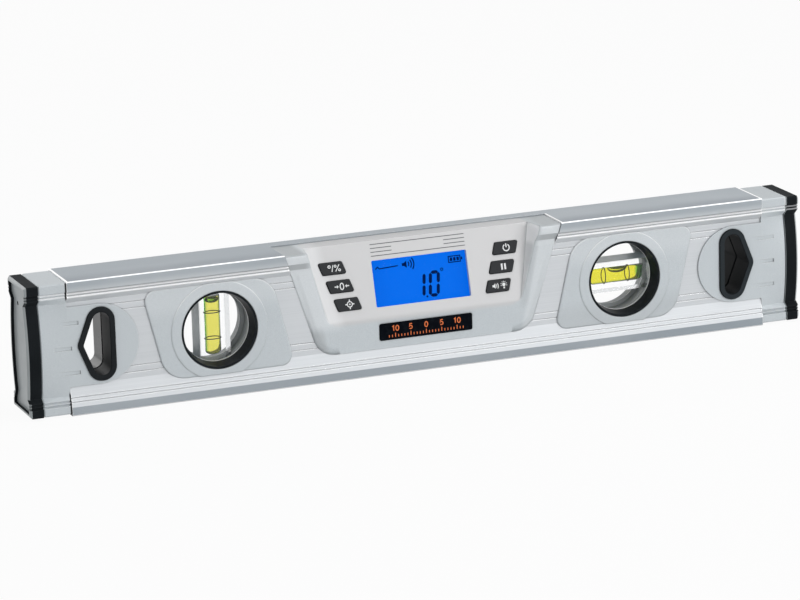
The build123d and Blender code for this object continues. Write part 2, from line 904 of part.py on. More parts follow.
board = board_blank(0.0, board_back)
for x, z in towers:
    board -= rod_y(x, z, -half_depth, half_depth, tower_radius + panel_gap)
board_screws = []
for x, up in posts:
    board -= face_rod(x, up, board_back, board_front, board_screw_radius + fit_gap)
    head_low = board_back - board_screw_head_height
    screw = face_rod(x, up, head_low, board_back, board_screw_head_radius)
    screw += face_rod(x, up, board_back, board_front + board_screw_length - fit_gap, board_screw_radius)
    slot = Pos(x, up) * Rectangle(2 * board_screw_head_radius, slot_width)
    screw -= on_face(slot, head_low, head_low + slot_depth)
    board_screws.append(screw)
nodes["circuit_board"] = board
nodes["board_screws"] = Compound(children=board_screws)


def chip(x, size, height, grow=0.0):
    """A square chip on the back of the board, grown by a margin."""
    width = size + 2 * grow
    return on_face(Pos(x, chip_row) * Rectangle(width, width), board_back - height - grow, board_back)


nodes["inclination_sensor"] = chip(0.0, sensor_size, sensor_height)
chip_columns = (-chip_pitch, chip_pitch)
nodes["processor_chips"] = Compound(children=[chip(x, chip_size, chip_height) for x in chip_columns])
buzzer_up = chip_row - buzzer_radius
buzzer_low = board_back - buzzer_height
buzzer = face_rod(buzzer_from_centre, buzzer_up, buzzer_low, board_back, buzzer_radius)
sound_low = buzzer_low + sound_hole_depth
buzzer -= face_rod(buzzer_from_centre, buzzer_up, buzzer_low, sound_low, sound_hole_radius)
nodes["buzzer"] = buzzer

# Rear housing with the battery box

rear_face = web_y + rear_proud
plate_front = rear_face - rear_plate
rear = slab(housing_outline(0.0, rear_plate_top), web_y, rear_face)
rear = chamfer(rear.faces().sort_by(Axis.Y)[-1].edges(), housing_edge)
rear -= envelope
rear += slab(housing_outline(tub_grow, rear_plate_top), plate_front, web_y)
cell_y = plate_front - cell_gap - cell_radius
low_cell_z = housing_base + cell_above_base
high_cell_z = low_cell_z + 2 * cell_radius + cell_gap
box_half = cell_length / 2 + contact_space
box_low = low_cell_z - cell_radius - cell_gap
box_high = high_cell_z + cell_radius + cell_gap
box_front = cell_y - cell_radius - cell_gap


def box_block(grow):
    """The battery box from outside, grown by a margin."""
    reach = box_half + box_wall + grow
    front = box_front - box_floor - grow
    return block(-reach, reach, front, plate_front, box_low - box_wall - grow, box_high + box_wall + grow)


rear += box_block(0.0)
nodes["front_housing"] -= box_block(panel_gap)
door_half = box_half + door_side_lap
door_low = box_low - door_lap
door_high = box_high + door_lap


def ledge_block(grow):
    """The ledge round the door, grown by a margin."""
    margin = door_ledge + grow
    reach = door_half + margin
    front = plate_front - door_ledge_depth - grow
    return block(-reach, reach, front, plate_front, door_low - margin, door_high + margin)


rear += ledge_block(0.0)
nodes["profile"] -= ledge_block(panel_gap)
rear -= block(-box_half, box_half, box_front, half_depth, box_low, box_high)
rear -= board_blank(panel_gap, board_back - fit_gap)
rear -= chip(0.0, sensor_size, sensor_height, panel_gap)
for x in chip_columns:
    rear -= chip(x, chip_size, chip_height, panel_gap)
door_front = plate_front + moving_gap
door_back = door_front + door_thickness
rear -= block(
    -door_half - moving_gap,
    door_half + moving_gap,
    plate_front,
    half_depth,
    door_low - moving_gap,
    door_high + moving_gap,
)
pivot_y = (door_front + door_back) / 2
pivot_z = door_low + door_thickness / 2
pin_reach = door_half + door_pin_length
pin_end = pin_reach + moving_gap
rear -= rod_x(-pin_end, pin_end, pivot_y, pivot_z, door_pin_radius + pin_gap)
for x, z in towers:
    rear += rod_y(x, z, tower_split + seat_gap, plate_front, tower_radius)
    rear -= rod_y(x, z, tower_split, half_depth, screw_radius + fit_gap)
    rear -= rod_y(x, z, screw_seat, half_depth, screw_head_radius + fit_gap)

# Battery door that turns on two pins along its lower edge

door = block(-door_half, door_half, door_front, door_back, pivot_z, door_high)
door += rod_x(-door_half, door_half, pivot_y, pivot_z, door_thickness / 2)
door += rod_x(-pin_reach, pin_reach, pivot_y, pivot_z, door_pin_radius)
door -= rod_y(0, door_high, door_back - door_notch_depth, half_depth, door_notch_radius)
nodes["battery_door"] = door

# Cells, lying opposite ways round, and their contacts


def cell(z, sign):
    """A cell with its positive end towards sign times X."""
    body_end = cell_length / 2 - cell_nub_length
    shape = rod_x(-cell_length / 2, body_end, 0, 0, cell_radius)
    shape += rod_x(body_end, cell_length / 2, 0, 0, cell_nub_radius)
    turn = Rot(0, 0, 0 if sign > 0 else 180)
    return Pos(0, cell_y, z) * turn * shape


nodes["lower_battery"] = cell(low_cell_z, 1)
nodes["upper_battery"] = cell(high_cell_z, -1)
leaf_tip = cell_length / 2 + seat_gap
leaf_root = box_half - contact_thickness - seat_gap


def leaf(z):
    """A bowed contact leaf at the right end of the box, on its back strip."""
    bow = contact_half_width
    outline = polygon(
        [
            (leaf_root, z + bow),
            (leaf_tip, z + contact_thickness),
            (leaf_tip, z - contact_thickness),
            (leaf_root, z - bow),
            (leaf_root, z + contact_thickness - bow),
            (leaf_tip + contact_thickness, z),
            (leaf_root, z - contact_thickness + bow),
        ]
    )
    strip = Pos((leaf_root + box_half - seat_gap) / 2, z) * Rectangle(contact_thickness, 2 * bow)
    return slab(outline + strip, cell_y - contact_depth / 2, cell_y + contact_depth / 2)


terminals = []
for z, tail_z in ((low_cell_z, low_cell_z + contact_half_width), (high_cell_z, high_cell_z)):
    tail_low = tail_z - contact_tail_width
    board_y = face_y(tail_z) - board_back / math.cos(math.radians(face_tilt))
    tail = block(leaf_root, leaf_root + contact_thickness, board_y + seat_gap, cell_y, tail_low, tail_z)
    terminals.append(leaf(z) + tail)
    rear -= block(
        leaf_root - fit_gap,
        box_half,
        box_front - box_floor,
        cell_y,
        tail_low - fit_gap,
        tail_z + fit_gap,
    )
nodes["battery_terminals"] = Compound(children=terminals)
bridge = leaf(low_cell_z) + leaf(high_cell_z)
bridge += block(
    leaf_root,
    leaf_root + contact_thickness,
    cell_y - contact_depth / 2,
    cell_y + contact_depth / 2,
    low_cell_z,
    high_cell_z,
)
nodes["battery_bridge"] = to_left(bridge)
nodes["rear_housing"] = rear

# Screws that draw the two housings together from the rear

housing_screws = []
for x, z in towers:
    screw = rod_y(x, z, screw_tip, screw_seat, screw_radius)
    head_back = screw_seat + screw_head_height
    screw += rod_y(x, z, screw_seat, head_back, screw_head_radius)
    for turn in (0, 90):
        slot = Pos(x, z) * Rot(0, 0, turn) * Rectangle(2 * screw_radius, slot_width)
        screw -= slab(slot, head_back - slot_depth, head_back)
    housing_screws.append(screw)
nodes["housing_screws"] = Compound(children=housing_screws)

for name, shape in nodes.items():
    export_step(shape, f"parts/{name}.step")
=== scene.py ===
# %% [markdown]
# A digital spirit level, dressed in Blender. The CAD model gives every shape its true size and place, so
# this lesson only adds what CAD leaves out: finishes, printed signs, liquid and light. Everything is in
# metres in the CAD frame: X along the level, -Y to the front, Z up, and the base face at Z = 0.

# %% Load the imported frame
import json
import math
import bmesh
import bpy
from mathutils import Matrix, Vector


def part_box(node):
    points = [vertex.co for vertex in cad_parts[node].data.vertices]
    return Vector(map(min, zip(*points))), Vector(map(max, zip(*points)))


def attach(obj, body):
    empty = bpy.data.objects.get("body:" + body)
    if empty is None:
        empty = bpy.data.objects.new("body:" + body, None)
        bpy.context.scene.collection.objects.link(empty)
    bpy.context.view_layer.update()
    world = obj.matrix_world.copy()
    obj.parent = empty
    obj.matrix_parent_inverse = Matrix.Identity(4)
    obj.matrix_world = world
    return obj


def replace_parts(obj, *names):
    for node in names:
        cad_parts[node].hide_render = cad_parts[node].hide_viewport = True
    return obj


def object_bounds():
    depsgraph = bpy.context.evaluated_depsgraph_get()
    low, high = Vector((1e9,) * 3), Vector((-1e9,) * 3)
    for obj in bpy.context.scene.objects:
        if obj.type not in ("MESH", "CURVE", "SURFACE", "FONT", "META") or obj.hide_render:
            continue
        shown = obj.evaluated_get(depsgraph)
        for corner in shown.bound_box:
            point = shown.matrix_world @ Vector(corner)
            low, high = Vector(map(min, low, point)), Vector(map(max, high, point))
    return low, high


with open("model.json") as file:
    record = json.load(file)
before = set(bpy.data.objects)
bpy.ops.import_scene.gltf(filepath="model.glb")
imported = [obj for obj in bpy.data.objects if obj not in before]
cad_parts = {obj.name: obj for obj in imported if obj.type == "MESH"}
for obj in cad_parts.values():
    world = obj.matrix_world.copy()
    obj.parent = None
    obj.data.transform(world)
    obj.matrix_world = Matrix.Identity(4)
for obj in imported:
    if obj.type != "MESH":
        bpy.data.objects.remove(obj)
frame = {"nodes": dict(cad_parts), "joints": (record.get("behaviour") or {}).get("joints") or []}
cad_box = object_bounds()
MM = 0.001


def middle(node):
    """The middle of a node's box."""
    low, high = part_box(node)
    return (low + high) / 2


def half_size(node):
    """Half the width, depth and height of a node's box."""
    low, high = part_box(node)
    return (high - low) / 2


def span(node, direction):
    """The least and the greatest distance of a node's corners along a direction."""
    along = [direction.dot(vert.co) for vert in frame["nodes"][node].data.vertices]
    return min(along), max(along)


# %% [markdown]
# The camera looks down on the front from the left with a long lens, which keeps the long edges almost
# parallel. Its place was fitted to corners of the object that show clearly, such as the ends of the
# profile and the window centres, so it is written here as two angles, a roll and a distance.

# %% Camera
azimuth = math.radians(-21.042)
elevation = math.radians(14.510)
roll = math.radians(-1.648)
aim = Vector((-8.194, 0.0, 32.43)) * MM
camera_distance = 2.01483
swing = Matrix.Rotation(azimuth, 4, "Z")
tilt = Matrix.Rotation(math.pi / 2 - elevation, 4, "X")
step_back = Matrix.Translation((0.0, 0.0, camera_distance))
camera_data = bpy.data.cameras.new("camera")
camera_data.sensor_width = 36.0
camera_data.lens = 187.31
camera_data.clip_end = 50.0
camera = bpy.data.objects.new("camera", camera_data)
bpy.context.scene.collection.objects.link(camera)
camera.matrix_world = Matrix.Translation(aim) @ swing @ tilt @ step_back @ Matrix.Rotation(roll, 4, "Z")
bpy.context.scene.camera = camera
bpy.context.scene.view_settings.view_transform = "Standard"
print("camera at", [round(v, 4) for v in camera.location])

# %% [markdown]
# A finish is a small graph of nodes. Writing that graph by hand is long, so a small class wraps a socket,
# which lets plain sums such as 1 - mask build the Math nodes by themselves.

# %% Sums on sockets
class Shade:
    """A value, colour or vector on its way to a shader. Arithmetic on values adds Math nodes."""

    def __init__(self, nodes, socket):
        self.nodes = nodes
        self.socket = socket

    def math(self, operation, first, second=0.0):
        return self.nodes.node("Math", {"operation": operation}, {0: first, 1: second})

    def __add__(self, other):
        return self.math("ADD", self, other)

    def __radd__(self, other):
        return self.math("ADD", other, self)

    def __sub__(self, other):
        return self.math("SUBTRACT", self, other)

    def __rsub__(self, other):
        return self.math("SUBTRACT", other, self)

    def __mul__(self, other):
        return self.math("MULTIPLY", self, other)

    def __rmul__(self, other):
        return self.math("MULTIPLY", other, self)

    def __abs__(self):
        return self.math("ABSOLUTE", self)

    def above_zero(self):
        """The value where it is above 0, and 0 elsewhere."""
        return self.math("MAXIMUM", self)


# %% [markdown]
# A second class makes any node from its type, its settings and its sockets, and knows the patterns that
# come back in every finish. Two masks are worth having for all of them: corners and gaps, which take
# painted shade, and edges that stick out, which take a painted highlight. A colour is built up as paint
# is, in layers.

# %% Nodes of a finish
class Nodes:
    """The node tree of one finish."""

    def __init__(self, tree):
        self.tree = tree
        tree.nodes.clear()

    def node(self, kind, settings=None, sockets=None, out=0):
        """Make a node: its settings first, then the values or links of its sockets."""
        made = self.tree.nodes.new("ShaderNode" + kind)
        for name, value in (settings or {}).items():
            setattr(made, name, value)
        for name, value in (sockets or {}).items():
            socket = made.inputs[name]
            if isinstance(value, Shade):
                self.tree.links.new(value.socket, socket)
            elif socket.type == "RGBA" and len(value) == 3:
                socket.default_value = (*value, 1.0)
            else:
                socket.default_value = value
        return Shade(self, made.outputs[out]) if made.outputs else None

    def split(self, vector):
        """The X, Y and Z of a vector."""
        parts = self.node("SeparateXYZ", None, {0: vector})
        return [Shade(self, parts.socket.node.outputs[axis]) for axis in range(3)]

    def vector(self, x, y, z):
        return self.node("CombineXYZ", None, {0: x, 1: y, 2: z})

    def measure(self, operation, first, second=(0.0, 0.0, 0.0)):
        """A number from vectors, such as a length or a dot product."""
        return self.node("VectorMath", {"operation": operation}, {0: first, 1: second}, out="Value")

    def place(self):
        """Where on the object a point lies, in metres, in the object's own frame."""
        return self.node("TexCoord", out="Object")

    def facing(self):
        """Which way the surface faces, as X, Y and Z."""
        return self.split(self.node("TexCoord", out="Normal"))

    def ramp(self, value, low, high):
        """0 at low, 1 at high and a soft step between them."""
        sockets = {"Value": value, "From Min": low, "From Max": high}
        return self.node("MapRange", {"interpolation_type": "SMOOTHSTEP"}, sockets)

    def noise(self, vector, scale, detail=2.0):
        return self.node("TexNoise", None, {"Vector": vector, "Scale": scale, "Detail": detail})

    def mix(self, mask, first, second):
        """first where mask is 0, second where it is 1, as colours."""
        return self.node("Mix", {"data_type": "RGBA"}, {0: mask, 6: first, 7: second}, out=2)

    def layers(self, base, *coats):
        """A base colour with others laid over it in turn, each by its mask; no mask, no layer."""
        for mask, colour in coats:
            if mask is not None:
                base = self.mix(mask, base, colour)
        return base

    def blend(self, mask, first, second):
        """first where mask is 0, second where it is 1, as vectors."""
        return self.node("Mix", {"data_type": "VECTOR"}, {0: mask, 4: first, 5: second}, out=1)

    def soft_edges(self, radius, samples=6):
        """Normals that round every edge a little, as moulding and finishing do."""
        return self.node("Bevel", {"samples": samples}, {"Radius": radius})

    def crevice(self, reach):
        """1 in corners and narrow gaps, 0 on open surfaces."""
        sky = self.node("AmbientOcclusion", {"samples": 6}, {"Distance": reach}, out="AO")
        return self.ramp(sky, 0.9, 0.35)

    def raised_edge(self, radius):
        """1 along edges, 0 on flats."""
        true_normal = self.node("NewGeometry", out="True Normal")
        agree = self.measure("DOT_PRODUCT", self.soft_edges(radius), true_normal)
        return self.ramp(agree, 0.97, 0.86)

    def slant(self, low, high):
        """1 where the surface is seen at a slant, 0 where it is seen squarely."""
        return self.ramp(self.node("LayerWeight", None, {"Blend": 0.5}, out="Facing"), low, high)

    def bump(self, height, strength, distance, normal):
        sockets = {"Height": height, "Strength": strength, "Distance": distance, "Normal": normal}
        return self.node("Bump", None, sockets)

    def surface(self, shader):
        self.node("OutputMaterial", None, {"Surface": shader})

    def principled(self, sockets):
        """End the tree in one Principled shader."""
        self.surface(self.node("BsdfPrincipled", None, sockets))


def new_finish(name):
    material = bpy.data.materials.new(name)
    material.use_nodes = True
    return material, Nodes(material.node_tree)


def wear(material, *names):
    """Give CAD nodes a finish."""
    for name in names:
        for slot in frame["nodes"][name].material_slots:
            slot.material = material
    print(material.name, "on", len(names), "nodes")


# %% [markdown]
# Fine ridges run along the level under its top flange, over the profile, the caps and the bumpers alike.
# Their zone is named once, and two masks that several finishes share are made here: one for the slopes of
# those ridges that look up, which get a painted highlight, and one for the left or the right half of the
# level.

# %% Zones of the level
LEFT, RIGHT = -1, 1
top_flange = 5.0 * MM
ridge_zone = 3.0 * MM
flange_low = cad_box[1][2] - top_flange
ridges_low = flange_low - ridge_zone


def half(n, side):
    """1 on one half of the level, left or right, and 0 on the other."""
    return n.ramp(n.split(n.place())[0], 0.0, side * MM)


def ridge_slopes(n):
    """1 on the slopes of the upper ridges that look up, where a painted highlight goes, 0 elsewhere."""
    height = n.split(n.place())[2]
    _, facing_y, facing_z = n.facing()
    above_low = n.ramp(height, ridges_low - 0.1 * MM, ridges_low)
    below_flange = n.ramp(height, flange_low, flange_low - 0.1 * MM)
    return above_low * below_flange * n.ramp(facing_z, 0.4, 0.6) * n.ramp(abs(facing_y), 0.4, 0.6)


print("ridges from", round(ridges_low / MM, 1), "to", round(flange_low / MM, 1), "mm")

# %% [markdown]
# The profile is an aluminium extrusion. Pulling the metal through a die leaves hair-fine streaks along
# its length. The top and the base flange, which do the measuring, are milled and look greyer than the
# silver web, with painted shade on the top towards its front edge and on the foot towards the right. The
# ridge zone is painted lighter, with a painted highlight on the slopes that look up and painted shade in
# the furrows. The broken edges of the flanges and the rims of the saw cuts get a painted highlight, partly
# also bright bare metal, a saw cut gets a painted shadow where it faces a cap, and gaps get painted shade.
# One finish reads place and facing to tell these apart.

# %% Aluminium of the profile
base_flange = 4.2 * MM
profile_end, profile_half_depth = half_size("profile").xy
cap_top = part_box("left_end_cap")[1].z
notch_end, housing_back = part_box("front_housing")[1].xy
highlight_white = (0.98, 0.98, 0.98)
pale_light = (0.93, 0.94, 0.95)
aluminium, n = new_finish("anodised_aluminium")
x, y, z = n.split(n.place())
facing_x, facing_y, facing_z = n.facing()
streaks = n.noise(n.vector(x * 3.0, y * 2600.0, z * 2600.0), 1.0, 3.0)
clouds = n.noise(n.vector(x * 14.0, y * 40.0, z * 40.0), 1.0)
flange = n.ramp(z, flange_low - 0.1 * MM, flange_low)
foot = n.ramp(z, base_flange + 0.2 * MM, base_flange - 0.1 * MM)
top_face = n.ramp(facing_z, 0.8, 0.9)
broken = (flange + foot) * n.ramp(abs(facing_y), 0.5, 0.6) * n.ramp(abs(facing_z), 0.5, 0.6)
upper = n.ramp(z, ridges_low - 0.3 * MM, ridges_low)
ridges = upper * (1.0 - flange)
crest_highlight = ridge_slopes(n)
furrow_shade = ridges * n.ramp(abs(y), profile_half_depth - 0.6 * MM, profile_half_depth - 0.8 * MM)
near_end = n.ramp(abs(x), profile_end - 0.8 * MM, profile_end - 0.5 * MM)
# The saw cuts get a painted shadow, and their tops above the caps a painted highlight.
sawn = n.ramp(abs(facing_x), 0.6, 0.8) * (0.4 + near_end * 0.6)
sawn_top_highlight = sawn * n.ramp(z, cap_top - 0.1 * MM, cap_top)
# Painted highlight lines along the ends of the top face and the edge of the notch.
end_line = top_face * n.ramp(abs(x), profile_end - 0.95 * MM, profile_end - 0.8 * MM)
notch_line = top_face * n.ramp(x, notch_end + 1.15 * MM, notch_end + 1.0 * MM) * half(n, RIGHT)
cut_line = end_line + notch_line * n.ramp(y, housing_back + 0.4 * MM, housing_back)
# Painted shade in gaps and corners.
gap_shade = n.crevice(0.9 * MM) * (1.0 - sawn)
notch = top_face * n.ramp(abs(y), profile_half_depth - 2.0 * MM, profile_half_depth - 3.0 * MM) * 0.6
dull = upper * (1.0 - near_end) * (1.0 - notch)
# Edges get a painted highlight, partly also bright bare metal.
edges = n.raised_edge(0.5 * MM) * (1.0 - gap_shade) * (1.0 - dull)
edges = edges * (1.0 - sawn) * (1.0 - cut_line) + cut_line
front = n.mix(n.ramp(z, flange_low + 3.0 * MM, flange_low), (0.34, 0.375, 0.405), (0.46, 0.49, 0.51))
# Painted shade on the foot towards the right and on the top towards its front edge.
foot_painted_shade = n.mix(n.ramp(x, -profile_end, profile_end), (0.315, 0.35, 0.38), (0.265, 0.30, 0.33))
top_painted_shade = n.mix(n.ramp(y, -profile_half_depth, 0.0), (0.28, 0.31, 0.34), (0.37, 0.405, 0.435))
base = n.layers(
    (0.575, 0.595, 0.615),
    (flange, front),
    (foot, foot_painted_shade),
    (top_face, top_painted_shade),
    # The ridge zone is painted lighter, its upward slopes get a painted highlight, the furrows painted
    # shade.
    (ridges, (0.66, 0.67, 0.68)),
    (furrow_shade, (0.34, 0.36, 0.38)),
    (crest_highlight, (0.97, 0.97, 0.98)),
    (n.ramp(streaks, 0.35, 0.75) * 0.14, (0.36, 0.38, 0.40)),
    (n.ramp(clouds, 0.45, 0.8) * 0.12, (0.7, 0.71, 0.72)),
    (sawn, (0.03, 0.032, 0.035)),
    (sawn_top_highlight, highlight_white),
    (edges, highlight_white),
    (broken, pale_light),
    (gap_shade * 0.45, (0.2, 0.205, 0.21)),
)
n.principled(
    {
        "Base Color": base,
        "Metallic": 0.36 + edges * 0.6 + sawn_top_highlight * 0.6 + crest_highlight * 0.35,
        "Roughness": 0.47 + streaks * 0.14 - edges * 0.25 - sawn_top_highlight * 0.2,
        "Normal": n.bump(streaks, 0.12, 0.02 * MM, n.soft_edges(0.2 * MM)),
    }
)
wear(aluminium, "profile")

# %% [markdown]
# Caps, bezels, housings and the battery door are moulded plastic sprayed with a silver-grey paint. Close
# up, such paint is a mist of tiny flakes over a faint orange peel, so the colour has a fine speckle and
# the surface a very shallow bump. Painted shade darkens the joints, and the moulding's rounded edges catch
# the light through the normals and a painted highlight. The pieces differ in how round they are and in
# where they get painted light and painted shade, which each of them passes on as masks.

# %% Silver-grey paint
# A mid grey: unpainted plastic in the bores and on the ring seats, made light there as painted light, and
# painted shade where it is laid over the paint.
bare_plastic_and_shade = (0.40, 0.42, 0.43)


def spray(n, normal, shade=0.65, bare_and_shade=None, pale=None, joint=None, face=None):
    """Paint with the given normals; shade weighs the painted shade in corners, and the masks lay on painted
    light, a painted joint shadow, the face's paint, and unpainted plastic with painted shade.
    """
    place = n.place()
    flakes = n.noise(place, 5200.0, 1.0)
    peel = n.noise(place, 900.0)
    patches = n.noise(place, 26.0)
    gap_shade = n.crevice(0.8 * MM)
    base = n.layers(
        (0.50, 0.54, 0.565),
        (n.ramp(flakes, 0.35, 0.7), (0.59, 0.63, 0.65)),
        (n.ramp(patches, 0.4, 0.75) * 0.14, (0.44, 0.48, 0.51)),
        (face, (0.575, 0.573, 0.577)),
        # Edges get a painted highlight and gaps painted shade; pale is painted light, joint a painted
        # shadow, and the last layer unpainted plastic with painted shade.
        (n.raised_edge(0.4 * MM) * (1.0 - gap_shade) * 0.7, (0.88, 0.89, 0.9)),
        (gap_shade * shade, (0.13, 0.14, 0.15)),
        (pale, pale_light),
        (joint, (0.02, 0.022, 0.025)),
        (bare_and_shade, bare_plastic_and_shade),
    )
    n.principled(
        {
            "Base Color": base,
            "Metallic": 0.08,
            "Roughness": 0.40 + flakes * 0.14,
            "Normal": n.bump(peel, 0.06, 0.05 * MM, normal),
        }
    )


grey_paint, n = new_finish("silver_grey_paint")
spray(n, n.soft_edges(0.5 * MM))
wear(grey_paint, "rear_housing", "battery_door")

# %% [markdown]
# The caps carry on the ridges of the profile. There the slopes that look up get a painted highlight, as
# on the metal, the far edge at the right bumper gets a painted highlight too, and beside the left saw cut
# a narrow joint gets a painted shadow. The top of the left cap gets a little painted light, and that of
# the right cap painted shade.

# %% Paint of the end caps
joint_width = 0.7 * MM
cap_foot = 10.0 * MM
cap_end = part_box("right_end_cap")[1].x
cap_paint, n = new_finish("cap_paint")
x, _, z = n.split(n.place())
_, facing_y, facing_z = n.facing()
upper_end = n.ramp(z, ridges_low - 2.0 * MM, ridges_low)
lower_end = n.ramp(z, cap_foot + 2.0 * MM, cap_foot)
beside_cut = n.ramp(x, -profile_end - joint_width - 0.1 * MM, -profile_end - joint_width)
on_left = half(n, LEFT)
# A painted shadow in the open joint beside the left saw cut.
joint = beside_cut * on_left * n.ramp(abs(facing_y), 0.3, 0.5) * (upper_end + lower_end)
# A painted highlight along the far edge at the right bumper.
end_highlight = n.ramp(x, cap_end - 1.0 * MM, cap_end - 0.7 * MM) * upper_end
upward = n.ramp(facing_z, 0.8, 0.9)
shade = 0.7 - lower_end * 0.4 - upper_end * 0.3
# Painted shade on the top of the right cap; painted light on the left one and on the ridge slopes.
bare_and_shade = upward * (1.0 - on_left) * 0.3
pale = ridge_slopes(n) + end_highlight + upward * on_left * 0.1
spray(n, n.soft_edges(0.3 * MM), shade, bare_and_shade, pale, joint)
wear(cap_paint, "left_end_cap", "right_end_cap")

# %% [markdown]
# The bezels are masked before they are sprayed, because the vial is pushed into their bore: inside that
# bore the plastic is bare and a darker grey. The distance from the bore's axis gives the mask. Both windows
# lie at the same distance from the middle, so the sign of X drops out. Undersides and the lower half of the
# right-hand bezels get painted shade, and faces that look up and the upper half get painted light.

# %% Paint of the bezels
window = middle("level_vial")
bore_edge = half_size("level_ring_front").x + 0.3 * MM
bezel_paint, n = new_finish("bezel_paint")
x, _, z = n.split(n.place())
from_axis = n.measure("LENGTH", n.vector(abs(x) - window.x, 0.0, z - window.z))
facing_z = n.facing()[2]
in_bore = n.ramp(from_axis, bore_edge, bore_edge - 0.05 * MM)
# Painted shade on undersides and low on the right-hand bezels; painted light on faces that look up and on
# the upper half.
under_shade = n.ramp(facing_z, -0.1, -0.5) * 0.5
lower_right_shade = n.ramp(z, window.z - 6.0 * MM, window.z - 16.0 * MM) * half(n, RIGHT) * 0.3
upper_light = n.ramp(facing_z, 0.1, 0.5) * 0.5
upper_half_light = n.ramp(z, window.z + 6.0 * MM, window.z + 16.0 * MM) * 0.15
bare_and_shade = in_bore + (under_shade + lower_right_shade) * (1.0 - in_bore)
spray(n, n.soft_edges(0.9 * MM, 10), 0.95, bare_and_shade, upper_light + upper_half_light)
wear(bezel_paint, "plumb_bezel_front", "plumb_bezel_rear", "level_bezel_front", "level_bezel_rear")

# %% [markdown]
# The buttons travel square to the tilted control face, so the axis of one button's joint gives the way that
# the face looks. The pane of the display lies a little deeper than the face, which gives the face's place,
# and with it the height at which the face runs out into the skirt below.

# %% Plane of the control face
press = next(joint for joint in frame["joints"] if joint["child"] == "hold_button")
face_out = -Vector(press["axis"]).normalized()
pane_sink = 0.6 * MM
pane_back, pane_front = span("display_window", face_out)
face_level = pane_front + pane_sink
face_foot = (face_level - face_out.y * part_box("badge_plate")[0].y) / face_out.z
face_tilt = math.degrees(math.asin(face_out.z))
print("control face looks up by", round(face_tilt, 1), "degrees")
print("its foot is", round(face_foot / MM, 1), "mm above the base")

# %% [markdown]
# The control face lies in a recess of its housing. The recess rounds over broadly at its sides and foot
# into the skirt round it, while the other edges are crisp, so two sets of rounded normals are mixed by
# place. The face has a warmer paint that ends in a rounded corner, and the wings beside the profile, the
# rims, the right wall and the skirt each get painted light and painted shade of their own.

# %% Paint of the control housing
recess_side = 51.5 * MM
recess_spread = 0.22
recess_level = middle("hold_button").z
recess_rim = 2.4 * MM
recess_corner = 6.0 * MM
housing_paint, n = new_finish("housing_paint")
x, _, z = n.split(n.place())
facing_x, _, facing_z = n.facing()
outside = abs(x) - recess_side - (z - recess_level) * recess_spread
on_left = half(n, LEFT)
wings = n.ramp(outside, 3.0 * MM, 7.0 * MM) * n.ramp(z, ridges_low - 3.0 * MM, ridges_low - 2.0 * MM)
turned_away = n.ramp(facing_z, 0.15, 0.5) + n.ramp(facing_z, -0.15, -0.4)
at_side = n.ramp(outside, -0.5 * MM, 0.5 * MM) * n.ramp(outside, 14.0 * MM, 10.0 * MM)
at_foot = n.ramp(abs(z - face_foot), 4.0 * MM, 3.0 * MM)
rounded = n.blend(at_side + at_foot, n.soft_edges(0.3 * MM), n.soft_edges(2.6 * MM, 16))
beside = outside - recess_rim + recess_corner
beneath = face_foot - z + recess_corner
past_edge = n.measure("LENGTH", n.vector(beside.above_zero(), beneath.above_zero(), 0.0)) - recess_corner
face_side = n.ramp(facing_z, 0.15, 0.2) + n.ramp(facing_x, 0.2, 0.4) * on_left
control_face = n.ramp(past_edge, 1.5 * MM, -1.5 * MM) * (face_side + at_foot)
right_wall = n.ramp(facing_x, -0.15, -0.5) * (1.0 - on_left)
wall_top = right_wall * n.ramp(z, ridges_low - 3.0 * MM, ridges_low)
low_part = n.ramp(z, face_foot + 2.0 * MM, face_foot - 4.0 * MM)
rim = (1.0 - low_part) * (1.0 - wings)
left_rim = n.ramp(outside, -8.0 * MM, -1.0 * MM) * on_left * rim
near_wall = n.ramp(outside, 1.0 * MM, 3.0 * MM) * n.ramp(outside, 7.0 * MM, 5.0 * MM)
right_rim = near_wall * (1.0 - on_left) * rim
skirt = n.ramp(outside, 4.0 * MM, 7.0 * MM) * (1.0 - wings)
# Painted shade on the wing faces that look up and down, the low left skirt and the right rim; painted light
# on the wing fronts, the right wall, the right skirt and the left rim.
bare_and_shade = wings * turned_away * 0.8 + skirt * on_left * low_part * 0.55
bare_and_shade = bare_and_shade + right_rim * (1.0 - right_wall) * 0.3
pale = wings * (1.0 - turned_away) * 0.3 + right_wall * 0.5 + wall_top * 0.4
pale = pale + skirt * (1.0 - on_left) * 0.22 + left_rim * 0.28
spray(n, rounded, bare_and_shade=bare_and_shade, pale=pale, face=control_face)
wear(housing_paint, "front_housing")

# %% [markdown]
# Bumpers and grip liners are black rubber. It is never quite black: a fine moulded grain scatters light,
# a thin bloom greys it in patches, and its edges get a painted highlight. The end faces of the bumpers are
# grey from a painted reflection under a thin gloss, and the ridges of the right bumper show painted
# highlight lines. A low specular level keeps the rubber from mirroring much. The rims of the right liner
# get painted light, a little paler than its depth, and the rear half of the left liner, where the hand goes
# in, is polished.

